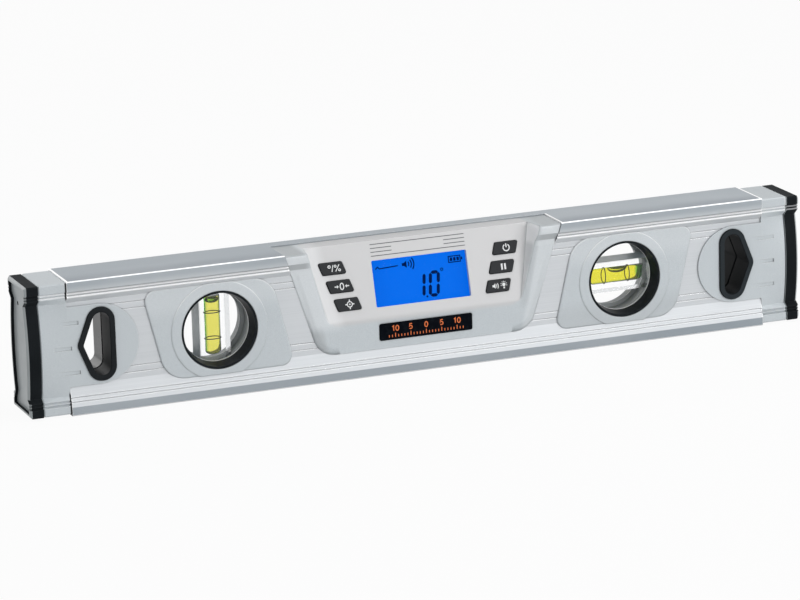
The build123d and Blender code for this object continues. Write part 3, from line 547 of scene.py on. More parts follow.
# %% Black rubber
def rubber_finish(name, mirror, matt, end_reflection=None, rim=None):
    """Black rubber that mirrors so much, with a painted reflection on its end faces and painted light on
    its rim.
    """
    material, n = new_finish(name)
    place = n.place()
    facing_x, facing_y, _ = n.facing()
    grain = n.noise(place, 2600.0, 3.0)
    bloom = n.noise(place, 60.0, 3.0)
    coat = 0.0
    base = n.mix(n.ramp(bloom, 0.4, 0.8), (0.0075, 0.0095, 0.011), (0.012, 0.0145, 0.0165))
    # The rim colour is painted light.
    if rim:
        base = n.mix(n.ramp(abs(facing_y), 0.7, 0.9), base, rim)
    # Edges get a painted highlight.
    base = n.mix(n.raised_edge(0.4 * MM) * 0.6, base, (0.045, 0.05, 0.053))
    # The end faces get a painted reflection, grey under a thin gloss, and the right bumper's ridge slopes
    # painted highlight lines.
    if end_reflection:
        end_faces = n.ramp(abs(facing_x), 0.5, 0.75)
        coat = end_faces * (0.65 + bloom * 0.3)
        base = n.mix(end_faces * (0.75 + bloom * 0.4), base, end_reflection)
        base = n.mix(ridge_slopes(n) * half(n, RIGHT) * 0.9, base, (0.45, 0.46, 0.47))
    n.principled(
        {
            "Base Color": base,
            "Roughness": matt + bloom * 0.14,
            "Specular IOR Level": mirror,
            "Coat Weight": coat,
            "Coat Roughness": 0.3,
            "Normal": n.bump(grain, 0.10, 0.03 * MM, n.soft_edges(0.45 * MM)),
        }
    )
    return material


bumper_rubber = rubber_finish("bumper_rubber", mirror=0.05, matt=0.55, end_reflection=(0.38, 0.41, 0.417))
wear(bumper_rubber, "left_bumper", "right_bumper")
wear(rubber_finish("liner_rubber", mirror=0.11, matt=0.45), "left_grip_liner_front")
deep_rubber = rubber_finish("deep_rubber", mirror=0.04, matt=0.5, rim=(0.028, 0.034, 0.038))
wear(deep_rubber, "right_grip_liner_front", "right_grip_liner_rear")
wear(rubber_finish("polished_rubber", mirror=0.34, matt=0.22), "left_grip_liner_rear")

# %% [markdown]
# The window rings and the plate under the display are hard plastic. Fine moulding marks break the
# reflection slightly, which is what tells plastic from glass. Where a ring presses on the vial block its
# edge gets a painted highlight, and the face round that seat a lighter grey as painted light. The plate is
# the deepest black, and the rear rings are a plain mid grey, which stands partly for the light that
# reaches them through the vial.

# %% Hard plastic
ring_seat = abs(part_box("level_ring_front")[1].y)


def hard_plastic(name, dark, light, mirror, matt):
    """Plastic between two shades that mirrors so much; matt is its roughness."""
    material, n = new_finish(name)
    depth = abs(n.split(n.place())[1])
    marks = n.noise(n.place(), 480.0, 4.0)
    along_bore = n.ramp(abs(n.facing()[1]), 0.6, 0.4)
    # A painted highlight on the edge where the ring presses on the vial, painted light on the face round
    # that seat.
    seat_edge_highlight = n.ramp(depth, ring_seat + 0.75 * MM, ring_seat + 0.45 * MM) * along_bore
    seat = n.ramp(depth, ring_seat + 0.2 * MM, ring_seat + 0.1 * MM) * (1.0 - along_bore)
    shades = n.mix(n.ramp(marks, 0.4, 0.7), dark, light)
    n.principled(
        {
            "Base Color": n.layers(shades, (seat_edge_highlight, (0.97, 0.97, 0.97)), (seat, bare_plastic_and_shade)),
            "Roughness": matt + marks * 0.16,
            "Specular IOR Level": mirror,
            "Normal": n.bump(marks, 0.05, 0.04 * MM, n.soft_edges(0.2 * MM)),
        }
    )
    return material


plate_plastic = hard_plastic("plate_plastic", (0.003, 0.004, 0.0065), (0.006, 0.008, 0.011), 0.01, 0.34)
wear(plate_plastic, "badge_plate")
ring_plastic = hard_plastic("ring_plastic", (0.010, 0.0125, 0.015), (0.017, 0.0205, 0.024), 0.05, 0.34)
wear(ring_plastic, "plumb_ring_front", "level_ring_front")
grey_plastic = hard_plastic("grey_plastic", (0.33, 0.345, 0.355), (0.40, 0.415, 0.425), 0.15, 0.45)
wear(grey_plastic, "plumb_ring_rear", "level_ring_rear")

# %% [markdown]
# The buttons are black too, but duller: a soft-touch lacquer with a fine grain, so that fingers find them.

# %% Button lacquer
button_black, n = new_finish("button_black")
grain = n.noise(n.place(), 3400.0)
base = n.mix(n.ramp(grain, 0.3, 0.7), (0.009, 0.010, 0.012), (0.018, 0.020, 0.023))
n.principled(
    {
        # The lighter edges are a painted highlight.
        "Base Color": n.mix(n.raised_edge(0.3 * MM) * 0.5, base, (0.09, 0.092, 0.095)),
        "Roughness": 0.42 + grain * 0.16,
        "Specular IOR Level": 0.2,
        "Normal": n.bump(grain, 0.2, 0.03 * MM, n.soft_edges(0.2 * MM)),
    }
)
buttons = ("unit", "reference", "calibration", "power", "hold", "sound_light")
wear(button_black, *(name + "_button" for name in buttons))

# %% [markdown]
# The vials, the pane and reading of the display and all printed signs are pieces that this scene adds. Each
# starts as a bmesh, which is turned about an axis, like the liquid, or pushed out from a flat outline, like
# the block of a vial. It then becomes an object that rides on a body of the CAD model.

# %% Tools for shapes
def to_object(name, shape, material):
    """Turn a bmesh into an object in the scene."""
    mesh = bpy.data.meshes.new(name)
    shape.to_mesh(mesh)
    shape.free()
    mesh.materials.append(material)
    made = bpy.data.objects.new(name, mesh)
    bpy.context.scene.collection.objects.link(made)
    return made


def add_piece(name, shape, material, body):
    """Turn a bmesh into a piece that rides on a body."""
    bmesh.ops.recalc_face_normals(shape, faces=shape.faces)
    piece = to_object(name, shape, material)
    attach(piece, body)
    print(name, "of", len(piece.data.polygons), "faces rides on", body)
    return piece


def push_out(shape, faces, way):
    """Move faces along a vector and close the sides behind them."""
    pushed = bmesh.ops.extrude_face_region(shape, geom=faces)
    moved = [item for item in pushed["geom"] if isinstance(item, bmesh.types.BMVert)]
    bmesh.ops.translate(shape, verts=moved, vec=way)


def turned(outline, sides=64):
    """A solid turned about X from (x, radius) points; the first and last lie on the axis."""
    shape = bmesh.new()
    rings = []
    for along, radius in outline[1:-1]:
        ring = []
        for step in range(sides):
            angle = math.tau * step / sides
            ring.append(shape.verts.new((along, radius * math.cos(angle), radius * math.sin(angle))))
        rings.append(ring)
    tips = [shape.verts.new((outline[0][0], 0, 0)), shape.verts.new((outline[-1][0], 0, 0))]
    for step in range(sides):
        after = (step + 1) % sides
        shape.faces.new((tips[0], rings[0][after], rings[0][step]))
        shape.faces.new((tips[1], rings[-1][step], rings[-1][after]))
        for ring, next_ring in zip(rings, rings[1:]):
            shape.faces.new((ring[step], ring[after], next_ring[after], next_ring[step]))
    return shape


def smooth(piece):
    for face in piece.data.polygons:
        face.use_smooth = True


# %% [markdown]
# Each vial is a clear acrylic block with a bore full of tinted liquid. Light bends once into the acrylic
# and a little way back in the liquid. The usual way to get that right without gaps is to leave the bore out
# of the block and give the liquid the ratio of the two refractive indices, and the gas bubble the ratio
# of gas to liquid. The main sizes come from the CAD vial that these pieces stand for.

# %% Shapes of the vials
vial_reach, vial_half_depth, vial_half_height = half_size("level_vial")
liquid_half, bore = half_size("level_fluid").xy
bubble_bore = bore - 0.05 * MM
block_edge = 0.25 * MM
far_dome = 2.4 * MM


def vial_block():
    """The block with its rounded ends and finely broken edges."""
    shape = bmesh.new()
    end_angle = math.asin(vial_half_height / vial_reach)
    rim = []
    for start in (-end_angle, math.pi - end_angle):
        for step in range(25):
            angle = start + 2 * end_angle * step / 24
            rim.append((vial_reach * math.cos(angle), vial_reach * math.sin(angle)))
    front = shape.faces.new([shape.verts.new((a, -vial_half_depth, b)) for a, b in rim])
    push_out(shape, [front], (0, 2 * vial_half_depth, 0))
    sharp = [edge for edge in shape.edges if edge.calc_face_angle(0.0) > math.radians(40)]
    bmesh.ops.bevel(shape, geom=sharp, offset=block_edge, segments=2, affect="EDGES")
    return shape


def liquid(plug_dome, square_top=False):
    """The filling of the bore, domed at the plug and the far end; a square top leaves the bubble room."""
    angles = [math.pi / 2 * step / 8 for step in range(1, 9)]
    far_end = [(-liquid_half + far_dome * (1 - math.cos(a)), bore * math.sin(a)) for a in angles]
    plug_end = [(liquid_half - plug_dome * (1 - math.cos(a)), bore * math.sin(a)) for a in reversed(angles)]
    shape = turned([(-liquid_half, 0.0), *far_end, *plug_end, (liquid_half, 0.0)])
    if square_top:
        for vert in shape.verts:
            end = math.copysign(liquid_half, vert.co.x)
            vert.co.x += (end - vert.co.x) * max(0.0, vert.co.z / bore)
    return shape


def gas(half_length, radius, along, lift):
    """An egg of gas that flattens where it rises against the bore."""
    angles = [math.pi * step / 24 for step in range(25)]
    shape = turned([(-half_length * math.cos(a), radius * math.sin(a)) for a in angles], 48)
    for vert in shape.verts:
        vert.co.x += along
        vert.co.z += lift
        across = math.hypot(vert.co.y, vert.co.z)
        if across > bubble_bore:
            vert.co.y *= bubble_bore / across
            vert.co.z *= bubble_bore / across
    return shape


print("bore", round(2 * bore / MM, 2), "mm wide, liquid", round(2 * liquid_half / MM, 2), "mm long")

# %% [markdown]
# The acrylic is clear and polished at the front and rear, where it is looked through, and ground matt on
# the sides. The side that the light comes through gets painted light and is made partly see-through.

# %% Acrylic of the vials
acrylic_index = 1.49
plumb_window = middle("plumb_vial")
plumb_right = plumb_window.x + vial_half_height
level_low = window.z - vial_half_height
acrylic, n = new_finish("clear_acrylic")
flow = n.noise(n.place(), 90.0)
x, _, z = n.split(n.place())
matt_side = n.ramp(abs(n.facing()[1]), 0.75, 0.5)
# The side that the light comes through on each vial gets painted light.
right_side = n.ramp(x, plumb_right - 0.6 * MM, plumb_right - 0.3 * MM) * half(n, LEFT)
low_side = n.ramp(z, level_low + 0.6 * MM, level_low + 0.3 * MM) * half(n, RIGHT)
bright_side = right_side + low_side
polished = n.node(
    "BsdfPrincipled",
    None,
    {
        "Base Color": n.mix(n.ramp(flow, 0.4, 0.8), (0.985, 0.99, 0.99), (0.955, 0.97, 0.97)),
        "Roughness": 0.01 + n.ramp(flow, 0.5, 0.9) * 0.03,
        "IOR": acrylic_index,
        "Transmission Weight": 1.0,
    },
)
ground = n.mix(n.ramp(flow, 0.35, 0.65), (0.52, 0.58, 0.62), (0.72, 0.77, 0.80))
frosted = n.node(
    "BsdfPrincipled",
    None,
    {
        "Base Color": n.mix(bright_side, ground, (0.93, 0.95, 0.97)),
        "Roughness": 0.3 + flow * 0.2,
    },
)
sides = n.node("MixShader", None, {0: matt_side * (0.9 - bright_side * 0.6), 1: polished, 2: frosted})
thin = n.node("BsdfTransparent", None, {"Color": (0.76, 0.775, 0.79)})
n.surface(n.node("MixShader", None, {0: matt_side * bright_side * 0.75, 1: sides, 2: thin}))
print("refractive index of the acrylic", acrylic_index)

# %% [markdown]
# The liquid is tinted yellow. At a slant, at one end of the level vial and along one side of the plumb vial
# the light takes a longer way through it and turns deep green, and so it does round the bubble.

# %% Liquid and gas of the vials
liquid_ratio = 0.92
gas_ratio = 0.735
green_fade = 1.6 * MM


def clear_fluid(n, colour, roughness, ratio):
    n.principled({"Base Color": colour, "Roughness": roughness, "IOR": ratio, "Transmission Weight": 1.0})


def liquid_finish(name, pale, deep, green_way, green_start):
    """Tinted liquid between two shades, green at a slant and past a start along the green way."""
    material, n = new_finish(name)
    swirl = n.noise(n.place(), 220.0)
    along = n.measure("DOT_PRODUCT", n.place(), green_way)
    green = n.ramp(along, green_start, green_start + green_fade)
    base = n.mix(n.slant(0.32, 0.75) * 0.85, n.mix(swirl, pale, deep), (0.12, 0.27, 0.04))
    clear_fluid(n, n.mix(green, base, (0.05, 0.30, 0.04)), 0.01 + swirl * 0.01, liquid_ratio)
    return material


def gas_finish(name, dim, clear):
    """Gas seen through the liquid: between two shades, and dark green round its rim."""
    material, n = new_finish(name)
    film = n.noise(n.place(), 600.0)
    base = n.mix(n.slant(0.35, 0.85), n.mix(film, dim, clear), (0.06, 0.30, 0.04))
    clear_fluid(n, base, 0.01 + film * 0.01, gas_ratio)
    return material


level_end = window.x + liquid_half - 3.4 * MM
plumb_side = -plumb_window.x + bore - 1.5 * MM
liquid_finishes = {
    "level": liquid_finish("level_liquid", (0.82, 0.77, 0.06), (0.77, 0.69, 0.015), (1, 0, 0), level_end),
    "plumb": liquid_finish("plumb_liquid", (0.80, 0.75, 0.16), (0.74, 0.68, 0.09), (-1, 0, 0), plumb_side),
}
gas_finishes = {
    "level": gas_finish("level_gas", (0.85, 0.95, 0.6), (0.95, 1.0, 0.8)),
    "plumb": gas_finish("plumb_gas", (0.16, 0.38, 0.10), (0.3, 0.55, 0.18)),
}
print("finishes of", len(liquid_finishes), "liquids and", len(gas_finishes), "gas bubbles")

# %% [markdown]
# The plugs are glued in clear, and the marks round each bore are dark ink. Such small things need no more
# than a fine speckle between two shades that also varies the gloss, so one function makes this kind of
# finish, here and for the prints and small parts further down.

# %% Plugs and marks of the vials
def speckled(name, scale, dark, light, matt, spread, more=None, bump=None, detail=2.0):
    """A fine speckle between two shades; matt and spread give its roughness, bump its relief and edges."""
    material, n = new_finish(name)
    speckle = n.noise(n.place(), scale, detail)
    sockets = {"Base Color": n.mix(speckle, dark, light), "Roughness": matt + speckle * spread}
    if bump:
        strength, radius = bump
        sockets["Normal"] = n.bump(speckle, strength, 0.02 * MM, n.soft_edges(radius))
    n.principled({**sockets, **(more or {})})
    return material


glue_ratio = 1.03
clear_glue = {"IOR": glue_ratio, "Transmission Weight": 1.0}
plug_glue = speckled("glued_plug", 500.0, (0.93, 0.95, 0.94), (0.99, 1.0, 0.99), 0.02, 0.04, clear_glue)
wear(plug_glue, "level_plug", "plumb_plug")
mark_ink = speckled("mark_ink", 3000.0, (0.006, 0.008, 0.006), (0.02, 0.024, 0.02), 0.45, 0.2)
wear(mark_ink, "level_marks", "plumb_marks")

# %% [markdown]
# Both vials are the same moulding: one lies along the level, and the other is turned upright by a quarter.
# Each bubble rides on its own body, so that it slides along the bore when the joint moves.

# %% Place the vials
vial_places = {
    "level": Matrix.Translation(window),
    "plumb": Matrix.Translation(plumb_window) @ Matrix.Rotation(-math.pi / 2, 4, "Y"),
}
level_gas = half_size("level_bubble")
plumb_gas = half_size("plumb_bubble")
level_gas_radius = 3.1 * MM
level_gas_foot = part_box("level_bubble")[0].z - window.z
level_gas_along = middle("level_bubble").x - window.x
plumb_gas_along = middle("plumb_bubble").z - plumb_window.z
vial_gas = {
    "level": gas(level_gas.x, level_gas_radius, level_gas_along, level_gas_foot + level_gas_radius),
    "plumb": gas(plumb_gas.z, plumb_gas.x, plumb_gas_along, 0.0),
}
vial_liquid = {
    "level": liquid(plug_dome=3.0 * MM, square_top=True),
    "plumb": liquid(plug_dome=0.3 * MM),
}
for vial, placed in vial_places.items():
    for part, shape, material, body, slot in (
        ("vial", vial_block(), acrylic, "body", "clear_acrylic"),
        ("fluid", vial_liquid[vial], liquid_finishes[vial], "body", "vial_fluid"),
        ("bubble", vial_gas[vial], gas_finishes[vial], vial + "_bubble", "bubble_gas"),
    ):
        shape.transform(placed)
        piece = add_piece(f"{vial}_{part}_clear", shape, material, body)
        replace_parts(piece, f"{vial}_{part}")
        if part != "vial":
            smooth(piece)
    print(vial, "vial at", [round(v / MM, 1) for v in placed.translation])

# %% [markdown]
# Behind the pane sits a backlit liquid-crystal panel. The backlight makes the whole field a strong blue,
# a little brighter towards the middle, and the segments that are switched on stand dark in it. The
# field is a glow, so its colour goes to the emission.

# %% Blue display field
even_glow = 12.0 * MM
faded_glow = 30.0 * MM


def glowing(n, unlit, roughness, glow):
    """End the tree in a surface that shines by itself."""
    sockets = {"Base Color": unlit, "Roughness": roughness, "Specular IOR Level": 0.0}
    n.principled({**sockets, "Emission Color": glow, "Emission Strength": 1.0})


lcd_blue, n = new_finish("lcd_blue")
pixels = n.noise(n.place(), 2400.0, 1.0)
edge_fall = n.ramp(abs(n.split(n.place())[0]), even_glow, faded_glow)
glow = n.mix(edge_fall, (0.0, 0.152, 0.84), (0.0, 0.130, 0.76))
glow = n.mix(n.ramp(pixels, 0.4, 0.7) * 0.06, glow, (0.0, 0.18, 0.95))
glowing(n, (0.004, 0.01, 0.03), 0.3 + pixels * 0.1, glow)
wear(lcd_blue, "lcd_panel")

# %% [markdown]
# Segments, icons and printed signs are all thin flat shapes on the tilted control face. They are drawn in
# millimetres on that face, filled, given a hair of thickness and then moved onto it in one step. The
# middle row of buttons is the drawings' zero.

# %% Tools for flat signs
face_right = Vector((1.0, 0.0, 0.0))
face_up = face_out.cross(face_right)
zero_up = sum(span("hold_button", face_up)) / 2
face_turn = Matrix((face_right, face_up, face_out)).transposed().to_4x4()
face_place = Matrix.Translation(face_up * zero_up + face_out * face_level) @ face_turn
print_thickness = 0.03


def above_face(node):
    """How far the front of a node stands above the control face, in millimetres."""
    return (span(node, face_out)[1] - face_level) / MM


def polygon(shape, points):
    return shape.faces.new([shape.verts.new((a, b, 0.0)) for a, b in points])


def box_sign(shape, left, low, wide, high):
    polygon(shape, [(left, low), (left + wide, low), (left + wide, low + high), (left, low + high)])


def ribbon(shape, points, width, closed=False):
    """A line of even width through points, mitred at its corners."""
    spots = [Vector(p) for p in points]
    count = len(spots)
    rails = []
    for index, spot in enumerate(spots):
        before = spots[index - 1] if closed or index else None
        after = spots[(index + 1) % count] if closed or index < count - 1 else None
        arrive = (spot - before).normalized() if before else (after - spot).normalized()
        leave = (after - spot).normalized() if after else arrive
        across = Vector((-(arrive + leave).y, (arrive + leave).x)).normalized()
        reach = width / 2 / max(0.4, across.dot(Vector((-leave.y, leave.x))))
        rails.append([shape.verts.new((*(spot + across * side * reach), 0.0)) for side in (-1, 1)])
    for index in range(count if closed else count - 1):
        first, second = rails[index], rails[(index + 1) % count]
        shape.faces.new((first[0], second[0], second[1], first[1]))


def arc(centre, radius, start, end, steps=24):
    """Points on an arc; angles in degrees, anticlockwise from the right."""
    angles = [math.radians(start + (end - start) * step / steps) for step in range(steps + 1)]
    return [(centre[0] + radius * math.cos(a), centre[1] + radius * math.sin(a)) for a in angles]


def circle(shape, centre, radius, width):
    ribbon(shape, arc(centre, radius, 0, 345, 23), width, closed=True)


def disc(shape, centre, radius):
    polygon(shape, arc(centre, radius, 0, 345, 23))


def print_on(name, shape, lift, material, body, placed=face_place):
    """Thicken a flat sign drawn in millimetres and set it on a face, lift above it."""
    push_out(shape, list(shape.faces), (0, 0, print_thickness))
    bmesh.ops.translate(shape, verts=shape.verts, vec=(0, 0, lift))
    shape.transform(placed @ Matrix.Scale(MM, 4))
    return add_piece(name, shape, material, body)


# %% [markdown]
# A seven-segment digit leans a little and its segments have pointed ends, so that neighbours meet in a
# fine gap. Drawing one segment along an edge and repeating it gives every digit. The bar across the middle
# is off in both digits of this reading, so six edges are enough.

# %% Display segments
lcd_ink, n = new_finish("lcd_segment")
field = n.noise(n.place(), 900.0)
leak = n.mix(field, (0.0, 0.006, 0.05), (0.0, 0.012, 0.09))
glowing(n, (0.001, 0.003, 0.012), 0.35 + field * 0.1, leak)
digit_width = 4.1
digit_half = 5.5
digit_lean = 0.13
digit_foot = -9.6
tens_left = -2.9
ones_left = 4.5
point_place = (2.9, -9.9)
degree_place = (11.9, 2.3)
segment_half = 0.8
segment_gap = 0.15
digit_corners = {
    "top": ((0, 2), (1, 2)),
    "bottom": ((0, 0), (1, 0)),
    "upper_left": ((0, 1), (0, 2)),
    "lower_left": ((0, 0), (0, 1)),
    "upper_right": ((1, 1), (1, 2)),
    "lower_right": ((1, 0), (1, 1)),
}


def digit(shape, left, *segments):
    """A leaning digit on the foot line, with its lower left corner at left."""
    for segment in segments:
        ends = []
        for column, row in digit_corners[segment]:
            height = row * digit_half
            ends.append(Vector((left + column * digit_width + digit_lean * height, digit_foot + height)))
        along = (ends[1] - ends[0]).normalized()
        across = Vector((-along.y, along.x)) * segment_half
        start = ends[0] + along * segment_gap
        end = ends[1] - along * segment_gap
        inset = along * segment_half
        sides = [start + inset - across, end - inset - across, end]
        polygon(shape, [start, *sides, end - inset + across, start + inset + across])


lcd_front = above_face("lcd_panel")
reading = bmesh.new()
digit(reading, tens_left, "upper_right", "lower_right")
digit(reading, ones_left, *digit_corners)
disc(reading, point_place, 0.5)
circle(reading, degree_place, 0.6, 0.4)
print_on("display_reading", reading, lcd_front, lcd_ink, "body")

# %% [markdown]
# Small icons along the top of the display show the line that is measured, the sound and the battery.

# %% Display icons
icons = bmesh.new()
ribbon(icons, [(-22.0, 6.0), (-20.9, 7.0), (-19.9, 6.1), (-10.3, 6.6)], 0.55)
horn = [(-8.2, 6.1), (-7.2, 6.1), (-5.8, 5.0), (-5.8, 8.5), (-7.2, 7.5), (-8.2, 7.5)]
polygon(icons, horn)
for radius in (1.6, 2.9, 4.2):
    ribbon(icons, arc((-6.2, 6.8), radius, -40, 40, 10), 0.6)
ribbon(icons, [(16.0, 5.1), (22.1, 5.1), (22.1, 8.0), (16.0, 8.0)], 0.5, closed=True)
box_sign(icons, 22.5, 5.9, 0.7, 1.3)
for step in range(3):
    box_sign(icons, 16.7 + 1.75 * step, 5.7, 1.25, 1.7)
print_on("display_icons", icons, lcd_front, lcd_ink, "body")

# %% [markdown]
# The pane over the display is thin clear plastic. It hardly bends the view, so it is made see-through
# with a reflection that grows towards grazing angles, which is what a window does.

# %% Display pane
pane_finish, n = new_finish("display_pane")
haze = n.noise(n.place(), 300.0)
clear = n.node("BsdfTransparent", None, {"Color": (0.97, 0.98, 0.99)})
shine = n.node("BsdfGlossy", None, {"Color": (0.1, 0.1, 0.1), "Roughness": 0.05 + haze * 0.03})
pane_index = 1.46
grazing = n.node("Fresnel", None, {"IOR": pane_index}) * 0.04
n.surface(n.node("MixShader", None, {0: grazing, 1: clear, 2: shine}))
pane_flange = 1.4
pane_fit = 0.15
pane_corner = 0.5
pane_air = 0.2
pane_thickness = (pane_front - pane_back) / MM - pane_air
pane_low, pane_high = ((edge - zero_up) / MM for edge in span("display_window", face_up))
pane_half_width = span("display_window", face_right)[1] / MM - pane_flange - pane_fit
pane_half_height = (pane_high - pane_low) / 2 - pane_flange - pane_fit
pane_middle = (pane_high + pane_low) / 2
pane_rim = []
for side_x, side_y, start in ((1, -1, -90), (1, 1, 0), (-1, 1, 90), (-1, -1, 180)):
    corner_x = side_x * (pane_half_width - pane_corner)
    corner_y = pane_middle + side_y * (pane_half_height - pane_corner)
    pane_rim += arc((corner_x, corner_y), pane_corner, start, start + 90, 6)
pane = bmesh.new()
push_out(pane, [polygon(pane, pane_rim)], (0, 0, -pane_thickness))
bmesh.ops.translate(pane, verts=pane.verts, vec=(0, 0, -pane_sink / MM))
pane.transform(face_place @ Matrix.Scale(MM, 4))
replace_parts(add_piece("display_pane", pane, pane_finish, "body"), "display_window")
print("pane", round(2 * pane_half_width, 2), "by", round(2 * pane_half_height, 2), "mm")

# %% [markdown]
# The signs of the buttons are plain symbols that need no language: a degree and percent sign, a return to
# zero, a target to calibrate on, the power sign, a pause sign, and a speaker with a lamp. Each is drawn
# about its own zero.

# %% Drawings of the button signs
def unit_sign(shape):
    circle(shape, (-2.6, 0.9), 0.6, 0.42)
    ribbon(shape, [(-1.4, -1.6), (-0.6, 1.6)], 0.42)
    ribbon(shape, [(0.5, -1.6), (2.5, 1.6)], 0.45)
    circle(shape, (0.5, 1.0), 0.5, 0.38)
    circle(shape, (2.5, -1.0), 0.5, 0.38)


def reference_sign(shape):
    angles = [math.tau * step / 24 for step in range(24)]
    ribbon(shape, [(0.9 * math.cos(a), 1.5 * math.sin(a)) for a in angles], 0.5, closed=True)
    for side in (-1, 1):
        ribbon(shape, [(side * 3.7, 0.0), (side * 2.4, 0.0)], 0.5)
        polygon(shape, [(side * 1.6, 0.0), (side * 2.5, 0.85), (side * 2.5, -0.85)])


def calibration_sign(shape):
    circle(shape, (0.0, 0.0), 1.3, 0.45)
    for across, along in ((1, 0), (0, 1), (-1, 0), (0, -1)):
        ribbon(shape, [(across * 1.5, along * 1.5), (across * 2.3, along * 2.3)], 0.5)
    disc(shape, (0.0, 0.0), 0.4)


def power_sign(shape):
    ribbon(shape, arc((0.0, 0.0), 1.6, 122, 418, 30), 0.55)
    ribbon(shape, [(0.0, 0.1), (0.0, 2.0)], 0.55)


def hold_sign(shape):
    for side in (-1, 1):
        box_sign(shape, side * 0.85 - 0.45, -1.5, 0.9, 3.0)


def sound_light_sign(shape):
    back, mouth = -3.6, -2.0
    throat = [(back, -0.5), (back + 0.7, -0.5), (mouth, -1.3), (mouth, 1.3), (back + 0.7, 0.5)]
    polygon(shape, throat + [(back, 0.5)])
    for radius in (1.2, 2.0):
        ribbon(shape, arc((mouth - 0.5, 0.0), radius, -40, 40, 10), 0.36)
    lamp = Vector((2.4, 0.3))
    disc(shape, lamp, 0.85)
    box_sign(shape, lamp.x - 0.4, lamp.y - 1.9, 0.8, 0.85)
    for angle in (-15, 22, 60, 90, 120, 158, 195):
        ray = Vector((math.cos(math.radians(angle)), math.sin(math.radians(angle))))
        ribbon(shape, [lamp + ray * 1.15, lamp + ray * 1.75], 0.32)


# %% [markdown]
# The signs are printed in white. Each is moved from its own zero to its button and rides on it, so that it
# sinks when the button is pressed.

# %% Button signs
white_print = speckled("white_print", 2200.0, (0.72, 0.73, 0.73), (0.86, 0.87, 0.87), 0.5, 0.15)
sign_drawing = (unit_sign, reference_sign, calibration_sign, power_sign, hold_sign, sound_light_sign)
sign_shift = (1.0, 0.8, 0.8, 0.5, 0.8, 0.3)
for name, draw, shift in zip(buttons, sign_drawing, sign_shift):
    node = name + "_button"
    sign = bmesh.new()
    draw(sign)
    across = sum(span(node, face_right)) / 2 / MM + shift
    along = (sum(span(node, face_up)) / 2 - zero_up) / MM
    bmesh.ops.translate(sign, verts=sign.verts, vec=(across, along, 0.0))
    print_on(name + "_sign", sign, above_face(node), white_print, node)

# %% [markdown]
# Four thin rules are printed above the display, the middle two in two halves, so that the field between
# them stays clear.

# %% Printed rules
grey_print = speckled("grey_print", 1500.0, (0.06, 0.065, 0.07), (0.13, 0.14, 0.15), 0.5, 0.1)
rule_pitch = 1.88
rule_low = 12.55
rule_end = 24.4
rule_width = 0.38
clear_end = 13.5
rules = bmesh.new()
for row in range(4):
    height = rule_low + row * rule_pitch
    halves = ((-rule_end, rule_end),) if row in (0, 3) else ((-rule_end, -clear_end), (clear_end, rule_end))
    for start, end in halves:
        ribbon(rules, [(start, height), (end, height)], rule_width)
print_on("printed_rules", rules, 0.0, grey_print, "body")

# %% [markdown]
# The plate below the display carries a plain degree scale in orange: ticks in a row, with a number at
# every fifth one. The numbers are pen strokes of even width, drawn in a box that is one unit high.

# %% Scale on the plate
orange_print = speckled("orange_print", 1800.0, (0.66, 0.13, 0.025), (0.8, 0.19, 0.04), 0.45, 0.1)
number_height = 2.5
number_step = 2.0
number_foot = 0.2
pen = 0.5
oval = [(0.3 + 0.3 * math.cos(a), 0.5 + 0.5 * math.sin(a)) for a in (math.tau * s / 24 for s in range(24))]
strokes = {
    "0": oval + oval[:1],
    "1": [(0.08, 0.78), (0.36, 1.0), (0.36, 0.0)],
    "5": [(0.56, 1.0), (0.1, 1.0), (0.06, 0.54)] + arc((0.27, 0.32), 0.31, 125, -140),
}


def number(shape, text, centre):
    left = centre - (len(text) - 1) * number_step / 2 - 0.3 * number_height
    for place, character in enumerate(text):
        start = left + place * number_step
        pen_way = [Vector((start, number_foot)) + Vector(p) * number_height for p in strokes[character]]
        ribbon(shape, pen_way, pen)


tick_pitch = 1.6
tick_foot = -2.9
tick_width = 0.42
long_tick = 2.0
short_tick = 1.2
last_tick = 12
last_number = 10
number_every = 5
badge_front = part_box("badge_plate")[0].y
badge_middle = middle("badge_plate")
upright = Matrix.Rotation(math.pi / 2, 4, "X")
badge_place = Matrix.Translation((badge_middle.x, badge_front, badge_middle.z)) @ upright
scale = bmesh.new()
for step in range(-last_tick, last_tick + 1):
    tick_top = tick_foot + (short_tick if step % number_every else long_tick)
    ribbon(scale, [(step * tick_pitch, tick_foot), (step * tick_pitch, tick_top)], tick_width)
for step in range(-last_number, last_number + 1, number_every):
    number(scale, str(abs(step)), step * tick_pitch)
print_on("badge_scale", scale, 0.0, orange_print, "body", badge_place)

# %% [markdown]
# What sits inside still gets its own finish, because it shows when the battery door swings open or when
# the part is taken apart. The board is green lacquer over copper tracks and a glass weave.

# %% Circuit board
board_green, n = new_finish("board_green")
x, _, z = n.split(n.place())
brick = {"Vector": n.vector(x, z, 0.0), "Scale": 700.0, "Mortar Size": 0.06}
shades = {"Color1": (1, 1, 1), "Color2": (0.6, 0.6, 0.6), "Mortar": (0, 0, 0)}
tracks = n.node("TexBrick", {"offset": 0.5}, {**brick, **shades})
weave = n.noise(n.place(), 1800.0)
base = n.mix(tracks, (0.05, 0.2, 0.06), (0.012, 0.085, 0.025))
base = n.mix(n.ramp(weave, 0.4, 0.7) * 0.3, base, (0.03, 0.13, 0.04))
n.principled({"Base Color": base, "Roughness": 0.28 + weave * 0.15})
wear(board_green, "circuit_board")

# %% [markdown]
# Chips, switches and the buzzer are black resin with a fine grain; screws and contacts are plated steel,
# which is drawn and stamped and so keeps faint marks; the light guide behind the display is milky.

